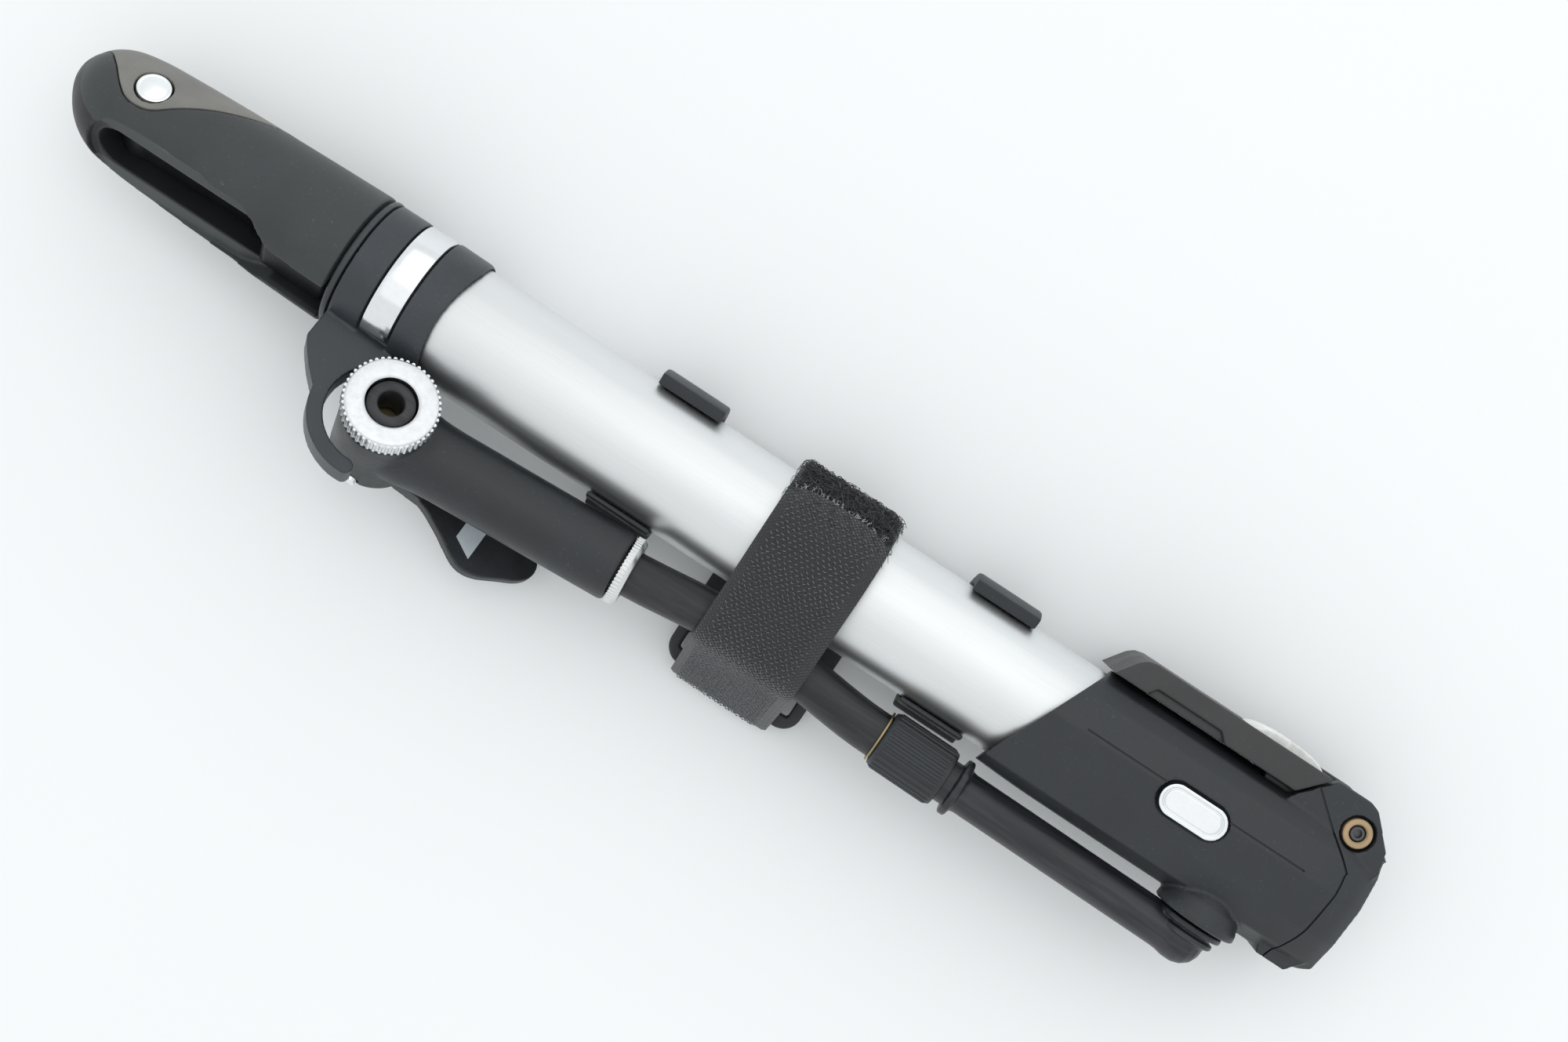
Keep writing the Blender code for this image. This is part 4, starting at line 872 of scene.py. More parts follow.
class PUMP_OT_handle(bpy.types.Operator):
    """Build the folding handle, its inlay, its pin and the arm inside it"""

    bl_idname = "pump.handle"
    bl_label = "Handle"

    def execute(self, context):
        shell = loft("grip_shell", handle_rings(), HANDLE)
        window_edge = curve_through([(-6.2, 0.4), (-5.9, 2.8), (-4.7, 5.2), (-2.4, 7.1), (1.5, 7.95)], 5)
        window_edge += curve_through([(23.4, 7.95), (26.2, 7.2), (28.6, 5.9), (31.0, 4.8), (34.0, 4.3)], 5)
        outline = [tuple(p) for p in window_edge] + [(p[0], -p[1]) for p in reversed(window_edge)]
        window_place = HANDLE @ turned(90, "X")
        cut(shell, accent_skin("recess", 1.25, 0.22, 0.6))
        cut(shell, slot_cutter(),
            rod("rod_room", (24, 0, 0), (60, 0, 0), 6.2, HANDLE), prism("window", outline, 7.6, 20, window_place),
            rod("pin_bore", (0, 0, -20), (0, 0, 20), 2.4, HANDLE),
            rod("pin_seat", (0, 0, 8.0), (0, 0, 20), 3.25, HANDLE),
            rod("pin_seat_far", (0, 0, -20), (0, 0, -8.0), 3.25, HANDLE))
        moulded(shell, 0.27, 4, 0.5)
        done(shell, "grip", "handle", "handle_grip", "handle_shell")
        accent = accent_skin("grip_inlay", 1.0, 0.0, 0.04)
        cut(accent, rod("seat", (0, 0, 8.0), (0, 0, 20), 3.35, HANDLE),
            rod("seat_far", (0, 0, -20), (0, 0, -8.0), 3.35, HANDLE))
        moulded(accent, 0.2, 3, 0.5)
        done(accent, "accent", "handle", "handle_accent", "handle_accent")
        pin = lathe("fold_pin", [
            (-8.2, 0), (-8.2, 2.1), (8.3, 2.1), (8.3, 3.0), (10.0, 3.0), (10.3, 2.9), (10.42, 2.6), (10.36, 2.35),
            (10.5, 2.1), (10.62, 0),
        ], HANDLE, 72)
        done(pin, "pin", "handle", "chrome", "handle_pin")
        cap = lathe("fold_pin_cap", [
            (-8.5, 0), (-8.5, 3.0), (-10.0, 3.0), (-10.3, 2.9), (-10.42, 2.6), (-10.36, 2.35), (-10.5, 2.1),
            (-10.62, 0),
        ], HANDLE, 72)
        done(cap, "pin", "handle", "chrome", "handle_pin_cap")
        self.build_arm()
        return {"FINISHED"}

    def build_arm(self):
        half = 4.1
        outline = arc((0, 0), 4.6, 60, 300, 40)
        outline += [(26.5, -3.2), (27.3, -5.6), (28.4, -7.9), (29.4, -8.6), (40.9, -8.6), (41.7, -7.8)]
        outline += [(41.7, 3.9), (41.1, 4.5), (5.0, 4.3)]
        arm = prism("handle_arm", outline, -half, half, HANDLE)
        cut(arm, rod("eye", (0, 0, -20), (0, 0, 20), 2.4, HANDLE),
            rod("socket", (31.7, 0, 0), (60, 0, 0), 3.5, HANDLE),
            rod("cross", (36, 0, -20), (36, 0, 20), 1.3, HANDLE))
        moulded(arm, 0.25, 4, 0.5)
        done(arm, "arm", "rod_assembly", "black_plastic", "rod_end_arm")


# Base, badge and foot rest

def base_section(x, top, side, foot_side, bottom):
    """Corners of the housing's section: a low crest, sloping shoulders and flat sides."""
    return [
        (x, 1.6, top), (x, 7.4, top - 1.6), (x, 10.4, top - 4.2), (x, foot_side - 0.6, 7.2),
        (x, foot_side, 5.0), (x, foot_side, -5.0), (x, foot_side - 0.6, -7.2), (x, 10.4, -bottom + 4.0),
        (x, 7.0, -bottom + 1.2), (x, 0.0, -bottom), (x, -6.6, -bottom + 0.9), (x, -11.0, 3.8 - bottom),
        (x, 0.6 - side, -5.4), (x, -side, 0.0), (x, 0.6 - side, 5.4), (x, -10.9, top - 4.1),
        (x, -6.0, top - 1.5),
    ]


BASE_STATIONS = (
    (60.0, 12.9, 13.2, 12.0, 12.9), (72.0, 13.4, 13.7, 12.1, 13.4), (90.0, 14.0, 13.8, 12.1, 13.9),
    (112.0, 13.9, 13.8, 12.1, 13.9), (121.0, 13.2, 13.9, 12.1, 13.4), (126.5, 11.6, 13.6, 12.2, 12.0),
    (129.6, 9.6, 12.2, 11.2, 10.4),
)


def badge_outline(grow):
    """A plain lozenge with round ends."""
    centre_x, half_length, radius = 96.0, 3.4, 2.9 + grow
    return (arc((centre_x + half_length, 0.4), radius, -90, 90, 32)
            + arc((centre_x - half_length, 0.4), radius, 90, 270, 32))


class PUMP_OT_base(bpy.types.Operator):
    """Build the base housing with its badge"""

    bl_idname = "pump.base"
    bl_label = "Base"

    def execute(self, context):
        stations = curve_through(BASE_STATIONS, 6)
        housing = loft("base_shell", [base_section(*station) for station in stations], BARREL)
        cheek = [(105, 4), (109.7, 12.3), (114.8, 17.9), (121.2, 17.9), (122.9, 17.3), (127.9, 12.1), (128.9, 8),
                 (126, 2)]
        skirt = [(117.6, -8), (119.6, -14.1), (125.2, -14.1), (127.4, -11.6), (128.6, -6), (120, -4)]
        boss = lathe("boss", [(9.0, 0), (9.0, 4.2), (10.2, 5.4), (11.6, 6.5), (14.0, 7.5), (15.0, 7.6), (15.3, 7.3),
                              (15.3, 0)], SPIGOT, 96)
        join(housing, prism("cheeks", cheek, -9.4, 9.4, BARREL), prism("skirt", skirt, -7.0, 7.0, BARREL), boss)
        hinge = HINGE.translation - BARREL.translation
        x, y = hinge.x / MM, hinge.y / MM
        front_place = (BARREL @ Matrix.Translation((0.0686, 0, 0)) @ turned(-24.0, "Z")
                       @ turned(-8.0, "Y"))
        cut(housing, block("front", (-40, -40, -40), (0, 40, 40), front_place),
            lathe("bore", disc(40, 88.8, 11.65, 0.01), AXIS_X, 128),
            lathe("chamber", [(88, 0), (88, 5.6), (100, 5.6), (100, 3.0), (110.5, 3.0), (110.5, 0)], AXIS_X, 64),
            rod("spigot_bore", (108, -30, 5.5), (108, 0, 5.5), 3.4, BARREL),
            block("web_slot", (103.8, 7.3, -6.5), (x, 30, 6.5), BARREL),
            block("swing_slot", (117.0, y, -6.5), (127.2, 30, 6.5), BARREL),
            rod("boss_slot", (x, y, -6.5), (x, y, 6.5), 5.2, BARREL),
            rod("screw_bore", (x, y, -20), (x, y, 20), 1.6, BARREL),
            rod("sleeve_seat", (x, y, 7.6), (x, y, 20), 3.1, BARREL),
            rod("nut_seat", (x, y, -20), (x, y, -7.6), 3.0, BARREL),
            prism("badge_seat", badge_outline(0.45), 12.6, 20, BARREL))
        moulded(housing, 0.3, 3, 0.5)
        self.add_seam(housing)
        done(housing, "plastic", "pump_body", "black_plastic", "base_housing")
        self.build_badge()
        return {"FINISHED"}

    def add_seam(self, housing):
        """A narrow step line that sweeps across the end and over the hinge cheek."""
        line = curve_through([(111.4, 16.4), (112.6, 15.2), (122.6, 6.6), (123.5, 5.0), (123.7, 1.0), (123.2, -6.7),
                              (121.9, -11.0), (120.6, -15.0)], 5)
        outline = [(p[0] - 0.19, p[1] - 0.1) for p in line] + [(p[0] + 0.19, p[1] + 0.1) for p in reversed(line)]
        groove = prism("seam", outline, 2, 20, BARREL)
        shell = loft("seam_core", [[(p[0], p[1] * 0.972, p[2] * 0.972) for p in base_section(*s)]
                                   for s in curve_through(BASE_STATIONS, 6)], BARREL)
        cheek_core = block("cheek_core", (100, 0, -9.05), (132, 30, 9.05), BARREL)
        cut(groove, shell, cheek_core)
        crest = block("crest_line", (74.0, 2.05, 12.9), (117.0, 2.4, 15), BARREL)
        cut(housing, groove, cut(crest, loft("crest_core", [[(p[0], p[1], p[2] - 0.3) for p in base_section(*s)]
                                                            for s in curve_through(BASE_STATIONS, 6)], BARREL)))
        smooth(housing, 32)

    def build_badge(self):
        badge = prism("plain_badge", badge_outline(0.0), 12.9, 14.5, BARREL)
        rim = prism("badge_rim", badge_outline(-0.65), 14.15, 15.5, BARREL)
        cut(badge, rim)
        dome = prism("badge_dome", badge_outline(-1.0), 13.5, 14.42, BARREL)
        join(badge, dome)
        moulded(badge, 0.12, 6, 0.6)
        done(badge, "chrome", "pump_body", "chrome", "base_badge")


class PUMP_OT_foot(bpy.types.Operator):
    """Build the folding foot rest, its rubber and its hinge's screw"""

    bl_idname = "pump.foot"
    bl_label = "Foot rest"

    def execute(self, context):
        hinge = HINGE.translation - BARREL.translation
        x, y = hinge.x / MM, hinge.y / MM
        pad = prism("pad", [(73.0, 12.5), (75.6, 16.2), (76.8, 17.2), (78.4, 17.6), (113.8, 17.6), (109.2, 12.5)],
                    -10, 10, BARREL)
        thumb = [(79.6, 10), (79.6, 12.6), (80.6, 14.1), (93.4, 14.1), (94.9, 12.6), (94.9, 10)]
        cut(pad, block("hollow", (75.8, 0, -8.2), (103.0, 15.4, 8.2), BARREL),
            prism("thumb", thumb, 9.0, 12, BARREL), prism("thumb_far", thumb, -12, -9.0, BARREL),
            block("rubber_seat", (97.6, 16.6, -6.4), (113.0, 20, 6.4), BARREL))
        web = prism("web", [(104.4, 8.2), (119.5, 8.2), (122.1, 7.6), (122.1, 16.8), (118.0, 15.3), (104.4, 15.3)],
                    -6.1, 6.1, BARREL)
        join(web, rod("knuckle", (x, y, -6.1), (x, y, 6.1), 4.8, BARREL))
        join(pad, web)
        cut(pad, rod("foot_bore", (x, y, -20), (x, y, 20), 1.6, BARREL))
        moulded(pad, 0.25, 4, 0.5)
        pad.name = "foot_rest"
        done(pad, "foot", "foot", "black_plastic", "foot_pad")
        edge = curve_through([(98.0, 16.9), (99.0, 17.9), (101.5, 18.7), (105.4, 19.05), (109.4, 18.7),
                              (111.8, 17.9), (112.7, 16.9)], 5)
        rubber = prism("rubber_pad", [tuple(p) for p in edge], -6.1, 6.1, BARREL)
        lines = [block("line", (101.0 + 1.9 * i, 18.55, -8), (101.3 + 1.9 * i, 20, 8), BARREL) for i in range(5)]
        cut(rubber, *lines)
        moulded(rubber, 0.16, 8, 0.5)
        done(rubber, "cream", "foot", "cream_rubber", "foot_rubber")
        self.build_hinge()
        return {"FINISHED"}

    def build_hinge(self):
        screw = lathe("hinge_screw", [
            (-7.2, 0), (-7.2, 1.3), (8.9, 1.3), (9.05, 1.15), (9.05, 0.75), (8.3, 0.7), (8.3, 0),
        ], HINGE, 48)
        done(screw, "steel", "pump_body", "steel", "foot_hinge_screw")
        sleeve = lathe("hinge_sleeve", [
            (7.9, 1.5), (7.9, 2.55), (9.15, 2.55), (9.3, 2.4), (9.3, 1.75), (9.15, 1.6), (9.05, 1.5),
        ], HINGE, 72)
        done(sleeve, "bronze", "pump_body", "bronze", "foot_hinge_sleeve")
        nut = lathe("hinge_nut", [(-9.2, 1.6), (-9.2, 2.3), (-9.0, 2.6), (-7.9, 2.6), (-7.9, 1.6)], HINGE, 6)
        done(smooth(nut, 20), "steel", "pump_body", "steel", "foot_hinge_nut")


# Hose line

SWIVEL = (Vector(JOINTS["hose_swivel"]["pos_m"]) - BARREL.translation) / MM
RING_CENTRE = (RING.translation - BARREL.translation) / MM
RING_RUN = RING.to_3x3() @ Vector((0, 0, 1))
PIPE_RUN = UNION.to_3x3() @ Vector((0, 0, 1))
UNION_MOUTH, UNION_FLANGE = 46.8, 61.7


def pipe_point(x):
    """The rigid pipe's axis at x."""
    return SWIVEL + PIPE_RUN * ((x - SWIVEL.x) / PIPE_RUN.x)


def hose_line(x):
    """The hose's axis at x: straight out of the pipe's barb, then one smooth curve into the ring."""
    mouth = UNION_MOUTH - 2
    if x >= mouth:
        return pipe_point(x)
    if x <= RING_CENTRE.x:
        return RING_CENTRE + RING_RUN * ((x - RING_CENTRE.x) / RING_RUN.x)
    start, end = pipe_point(mouth), RING_CENTRE
    span = end.x - start.x
    t = (x - start.x) / span
    h00, h10 = 2 * t**3 - 3 * t**2 + 1, t**3 - 2 * t**2 + t
    h01, h11 = -2 * t**3 + 3 * t**2, t**3 - t**2
    bow = Vector((0, 1.6, 0)) * (4 * t * (1 - t)) ** 2
    point = start * h00 + PIPE_RUN / PIPE_RUN.x * span * h10 + end * h01 + RING_RUN / RING_RUN.x * span * h11 + bow
    return Vector((x, point.y, point.z))


class PUMP_OT_hose(bpy.types.Operator):
    """Build the swivel, the rigid pipe, the union and the hose"""

    bl_idname = "pump.hose"
    bl_label = "Hose line"

    def execute(self, context):
        spigot = lathe("spigot", [
            (4.6, 0), (4.6, 3.05), (7.0, 3.05), (7.0, 2.3), (8.8, 2.3), (8.8, 3.05), (15.7, 3.05), (15.7, 5.8),
            (15.85, 6.0), (16.6, 6.0), (16.8, 5.8), (16.8, 4.5), (17.5, 4.4), (17.5, 5.1), (17.65, 5.3), (18.3, 5.3),
            (18.5, 5.1), (18.7, 4.3), (20.0, 3.9), (21.2, 3.1),
            (22.2, 2.0), (22.8, 0.9), (23.0, 0),
        ], SPIGOT, 72)
        length = (pipe_point(UNION_FLANGE) - SWIVEL).length
        pipe_place = frame_at(SWIVEL * MM + BARREL.translation, (0, 0, 1), -PIPE_RUN)
        pipe = lathe("pipe", [
            (-4.25, 0), (-4.0, 1.4), (-3.3, 2.7), (-2.0, 3.7), (-0.6, 4.15), (1.2, 4.15), (2.8, 3.85), (4.0, 3.8),
            (length - 2.4, 3.8), (length - 1.6, 4.0), (length - 1.35, 5.1), (length - 1.1, 5.3), (length - 0.25, 5.3),
            (length, 5.1), (length, 3.9), (length + 8.5, 3.9), (length + 8.5, 1.8), (length + 16.7, 1.8),
            (length + 16.7, 0),
        ], pipe_place, 72)
        join(spigot, pipe)
        moulded(spigot, 0.2, 3, 0.5)
        spigot.name = "swivel_pipe"
        done(spigot, "pipe", "hose_line", "black_plastic", "swivel_elbow")
        self.build_union()
        self.build_hose()
        return {"FINISHED"}

    def build_union(self):
        mouth = pipe_point(UNION_MOUTH)
        place = frame_at(mouth * MM + BARREL.translation, (0, 0, 1), PIPE_RUN)
        length = 60.0 - UNION_MOUTH
        nut = lathe("union", [
            (0.3, 4.5), (0.3, 4.8), (0.5, 5.05), (1.0, 5.2), (length - 0.6, 5.2), (length - 0.2, 5.05),
            (length - 0.1, 4.8), (length - 0.1, 4.4), (7, 4.4),
        ], place, 96)
        ribs = ridges("ribs", sizes().union_ribs, 5.08, 0.38, length - 2.2, length / 2 + 0.1, place, "plastic")
        nut = merged("union_grip", nut, ribs)
        done(nut, "plastic", "union_nut", "black_plastic", "union_nut")
        ferrule = lathe("brass_ferrule", ring(-0.3, 0.05, 4.35, 4.8, 0.08), place, 96)
        done(ferrule, "brass", "hose_line", "brass", "union_ferrule")

    def build_hose(self):
        places = [52.7 - 70.3 * i / 90 for i in range(91)]
        hose = tube("rubber_hose", [hose_line(x) for x in places], 4.1, BARREL, 64, 2.3)
        done(hose, "hose", "hose_line", "hose_rubber", "hose")
        collar = lathe("ring_core", [
            (-1.05, 4.45), (-1.05, 6.1), (-0.95, 6.25), (0.0, 6.3), (0.25, 6.15), (0.8, 5.75), (0.92, 5.6),
            (0.92, 4.45),
        ], RING, 96)
        edge = ridges("ring_ridges", sizes().ring_ridges, 6.22, 0.22, 1.15, -0.45, RING, "knurl")
        done(merged("knurled_ring", collar, edge), "knurl", "coupling_ring", "chrome", "coupling_ring")


# Pump head

class PUMP_OT_head(bpy.types.Operator):
    """Build the head with its valve nut, gasket and lever"""

    bl_idname = "pump.head"
    bl_label = "Pump head"

    def execute(self, context):
        radius = 7.9
        head = lathe("head", [
            (-1.5, 0), (-1.5, 6.0), (-3.9, 6.0), (-3.9, radius - 0.5), (-4.05, radius - 0.15), (-4.4, radius),
            (-20.2, radius), (-21.2, radius - 0.45), (-22.1, radius - 1.5), (-22.5, radius - 3.0), (-22.6, 0),
        ], HEAD, 128)
        start = HEAD.translation + HEAD.to_3x3() @ Vector((0, 0, -12.4 * MM))
        end = RING.translation - RING.to_3x3() @ Vector((0, 0, 1.4 * MM))
        place = frame_at(start, (0, 0, 1), end - start)
        length = (end - start).length / MM
        neck = lathe("neck", [
            (0.5, 0), (0.5, 7.3), (6.0, 7.2), (9.5, 6.75), (13, 6.6), (length - 1.0, 6.5), (length - 0.4, 6.4),
            (length, 6.1), (length, 0),
        ], place, 128)
        join(head, neck)
        cut(head, lathe("bore", disc(-14.4, 10, 4.55, 0.01), HEAD, 64),
            lathe("passage", [(1.5, 0), (1.5, 2.5), (length - 12.8, 2.5), (length - 12.8, 4.5), (length + 5, 4.5),
                              (length + 5, 0)], place, 64),
            block("cam_slot", (-5.4, -3.0, -40), (5.2, 3.0, -15.5), HEAD),
            block("neck_slot", (2.0, -2.9, -40), (16, 2.9, -18.4), HEAD),
            rod("pin_hole", (0, -20, -LEVER_DEPTH), (0, 20, -LEVER_DEPTH), 1.55, HEAD))
        moulded(head, 0.27, 6, 0.5)
        head.name = "head_casting"
        done(head, "head", "hose_line", "black_plastic", "head_body")
        gasket = lathe("gasket", [
            (-0.75, 2.3), (-0.55, 2.5), (-0.5, 3.0), (-0.6, 3.6), (-0.9, 4.1), (-1.3, 4.2), (-8.2, 4.2), (-8.2, 2.3),
        ], HEAD, 96)
        done(gasket, "rubber", "hose_line", "seal_rubber", "valve_gasket")
        self.build_nut()
        self.build_lever()
        return {"FINISHED"}

    def build_nut(self):
        outer = 7.95
        nut = lathe("nut_core", [
            (-3.6, 6.3), (-3.6, outer - 0.3), (-3.35, outer), (-0.35, outer),
            (-0.12, outer - 0.12), (0.0, outer - 0.4),
            (0.0, 5.1), (-0.06, 4.75), (-0.3, 4.5), (-1.2, 4.5), (-1.2, 6.3),
        ], HEAD, 144)
        edge = ridges("nut_ridges", sizes().nut_ridges, outer + 0.04, 0.32, 2.9, -1.78, HEAD, "nut")
        done(merged("knurled_nut", nut, edge), "nut", "valve_nut", "nut_metal", "valve_nut")

    def build_lever(self):
        side = HEAD @ Matrix.Translation((0, 0, -LEVER_DEPTH * MM)) @ turned(90, "X")
        outline = arc((0, 0), 3.7, 50, 262, 36) + [(6.0, -5.4), (11.4, -6.0), (11.6, -2.6), (5.2, -0.6)]
        cam = prism("cam", outline, -2.7, 2.7, side)
        place = HEAD @ Matrix.Translation((9.0 * MM, 0, (-LEVER_DEPTH - 2.7) * MM)) @ turned(9.0, "Y")
        half = [(0.0, 2.5), (4.0, 3.0), (9.0, 5.2), (13.0, 7.3), (15.6, 7.9), (18.5, 7.2), (22.0, 5.0), (24.8, 3.2),
                (26.2, 1.6), (26.6, 0.0)]
        line = [tuple(p) for p in curve_through(half, 4)]
        leaf = prism("leaf", line + [(p[0], -p[1]) for p in reversed(line[:-1])], -2.6, -0.2, place)
        join(cam, leaf)
        cut(cam, rod("lever_bore", (0, -20, -LEVER_DEPTH), (0, 20, -LEVER_DEPTH), 1.55, HEAD))
        moulded(cam, 0.2, 5, 0.5)
        cam.name = "thumb_lever"
        done(cam, "plastic", "lever", "black_plastic", "lock_lever")
        pin = lathe("cam_pin", disc(-8.6, 8.6, 1.25, 0.25), HEAD @ Matrix.Translation(
            (0, 0, -LEVER_DEPTH * MM)) @ turned(90, "X"), 48)
        done(pin, "chrome", "hose_line", "chrome", "lever_pin")
        sticker = prism("blank_label", [(11.5, -3.6), (15.5, -5.6), (15.5, 5.6), (11.5, 3.6)], -0.22, -0.08, place)
        done(smooth(sticker, 30), "label", "lever", "black_plastic")


# Frame bracket and strap

STRAP = (10.2, 30.4)
STRAP_MIDDLE = sum(STRAP) / 2
TAB = (2.3, 4.4, -29.5)
TAB_ENDS = (7.2, 34.6)
TAB_CORNER = 3.6
BAR_WIDTH = 2.6
CLIP_CENTRES = (20.2 - 32, 20.2 + 32)
LOOP_RADIUS = 12.15
PILE_RADIUS = 12.7
HOOK_RADIUS = 13.75
HOSE_WRAP = 5.65
BAR_WRAP = 2.7
CUT_END = 3.4
CUT_POWER = 2.6
HOOK_STEP = 0.5
FRAYS = 46


class PUMP_OT_bracket(bpy.types.Operator):
    """Build the frame bracket with its clips and the strap's tab"""

    bl_idname = "pump.bracket"
    bl_label = "Bracket"

    def execute(self, context):
        height = BARREL_Z / MM
        (low_x, _, _), (high_x, _, _) = ((c.x / MM, c.y, c.z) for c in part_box("frame_bracket"))
        plate = block("bracket", (low_x, -10.7, -height), (high_x, 10.7, 2.9 - height), BARREL)
        (left, right), corner = TAB_ENDS, TAB_CORNER
        tab = [(left, -10), (right, -10)]
        tab += arc((right - corner, TAB[2] + corner), corner, 0, -90, 16)
        tab += arc((left + corner, TAB[2] + corner), corner, -90, -180, 16)
        join(plate, prism("tab", tab, TAB[0] - height, TAB[1] - height, BARREL))
        clip = arc((0, 0), 14.0, 22, -170, 70) + arc((0, 0), 12.5, -174, -202, 12) + arc((0, 0), 11.6, -202, 22, 80)
        cuts = [block("strap_slot", (9.4, TAB[2] + BAR_WIDTH, -30), (32.4, -23.4, 30 - height), BARREL)]
        for centre in CLIP_CENTRES:
            join(plate, prism("clip", clip, centre - 6.3, centre + 6.3, SECTION))
            cuts.append(block("bolt_slot", (centre - 4.0, -2.7, -60), (centre + 4.0, 2.7, 5.5 - height), BARREL))
            cuts.append(block("relief", (centre - 6, -9, -30), (centre + 6, -5, 1.6 - height), BARREL))
            cuts.append(block("relief", (centre - 6, 5, -30), (centre + 6, 9, 1.6 - height), BARREL))
        cut(plate, *cuts)
        moulded(plate, 0.27, 4, 0.45)
        plate.name = "bracket_moulding"
        done(plate, "plastic", "pump_body", "black_plastic", "frame_bracket")
        return {"FINISHED"}


class Route:
    """A line of (y, z) points that is read by the length along it."""

    def __init__(self, points):
        self.points = [Vector(p) for p in points]
        self.lengths = [0.0]
        for a, b in zip(self.points, self.points[1:]):
            self.lengths.append(self.lengths[-1] + (b - a).length)

    def at(self, along, reach=1):
        """The point there, and the line's normal from points as far as reach before and after."""
        last = len(self.points) - 1
        j = 1
        while j < last and self.lengths[j] < along:
            j += 1
        t = (along - self.lengths[j - 1]) / (self.lengths[j] - self.lengths[j - 1])
        run = self.points[min(j - 1 + reach, last)] - self.points[max(j - reach, 0)]
        run.normalize()
        return self.points[j - 1].lerp(self.points[j], t), Vector((-run.y, run.x))


def cut_back(across):
    """How far the rounded cut end stands back at across, from -1 to 1 over the tape."""
    return CUT_END * (1 - math.sqrt(max(0.0, 1 - abs(across) ** CUT_POWER)))


def tape_mesh(name, path, thickness, low, high, rounded=False, columns=28):
    """A tape along a (y, z) path, with eased long edges and UVs in metres along and across it."""
    route = Route(path)
    bm = bmesh.new()
    layer = bm.loops.layers.uv.new("tape")
    rows = {1: [], -1: []}
    where = {}
    middle, half = (low + high) / 2, (high - low) / 2
    for length in route.lengths:
        for side in (1, -1):
            row = []
            for k in range(columns + 1):
                across = -1 + 2 * k / columns
                along = length
                if rounded:
                    along += cut_back(across) * max(0.0, 1 - length / (CUT_END * 1.6))
                point, normal = route.at(along, 2)
                ease = 0.55 if k in (0, columns) else 1.0
                place = point + normal * (side * thickness / 2 * ease)
                vert = bm.verts.new((place.x, place.y, middle + half * across))
                where[vert] = (along * MM, (middle + half * across) * MM)
                row.append(vert)
            rows[side].append(row)
    top, under = rows[1], rows[-1]
    faces = []
    for sheet in (top, under):
        for row, after in zip(sheet, sheet[1:]):
            faces += [(row[k], row[k + 1], after[k + 1], after[k]) for k in range(columns)]
    for i in range(len(top) - 1):
        faces += [(top[i][k], top[i + 1][k], under[i + 1][k], under[i][k]) for k in (0, columns)]
    for i in (0, -1):
        faces += [(top[i][k], top[i][k + 1], under[i][k + 1], under[i][k]) for k in range(columns)]
    for corners in faces:
        face = bm.faces.new(corners)
        for loop in face.loops:
            loop[layer].uv = where[loop.vert]
    return smooth(placed(name, bm, SECTION), 50)


def surface_grid(name, path, lift, low, high, pitch_along, pitch_across, skip=0.0, stagger=True):
    """A grid patch standing just off a path, its rows staggered, for hooks and pile."""
    route = Route(path)
    bm = bmesh.new()
    across_count = int((high - low) / pitch_across)
    grid = []
    for i in range(int((route.lengths[-1] - skip) / pitch_along) + 1):
        point, normal = route.at(skip + i * pitch_along)
        place = point + normal * lift
        shift = pitch_across / 2 if stagger and i % 2 else 0.0
        grid.append([bm.verts.new((place.x, place.y, low + shift + k * pitch_across))
                     for k in range(across_count + (0 if shift else 1))])
    for row, after in zip(grid, grid[1:]):
        for k in range(min(len(row), len(after)) - 1):
            bm.faces.new((row[k], after[k], after[k + 1], row[k + 1]))
    return placed(name, bm, SECTION)


def loop_path():
    """Round the barrel under the hooks, then along the tab."""
    on_tab = TAB[1] + 0.95 - BARREL_Z / MM
    return arc((0, 0), LOOP_RADIUS, 98, -112, 120) + [(-9.0, on_tab - 0.25), (-12.4, on_tab), (-22.0, on_tab)]


def hook_path():
    """From the cut end on the pile, over the barrel and the hose, down and round the tab's bar."""
    hose = hose_line(STRAP_MIDDLE).yz
    reach = Vector(BAR) - Vector((BAR_WRAP, 0)) - hose
    leave = math.degrees(math.atan2(reach.y, reach.x) % (2 * math.pi) - math.acos(HOSE_WRAP / reach.length))
    return (arc((0, 0), HOOK_RADIUS, 43, 96, 40) + arc(hose, HOSE_WRAP, 95, leave, 24)
            + arc(BAR, BAR_WRAP, 178, 290, 24))


def even_path(path, step):
    """The same path with points a step apart, its corners eased a little."""
    path = [Vector(p) for p in path]
    points, spare = [path[0]], 0.0
    for a, b in zip(path, path[1:]):
        run = (b - a).length
        at = step - spare
        while at <= run:
            points.append(a.lerp(b, at / run))
            at += step
        spare = run - (at - step)
    points.append(path[-1])
    for _ in range(6):
        inner = [(points[i - 1] + 2 * points[i] + points[i + 1]) / 4 for i in range(1, len(points) - 1)]
        points = [points[0], *inner, points[-1]]
    return points


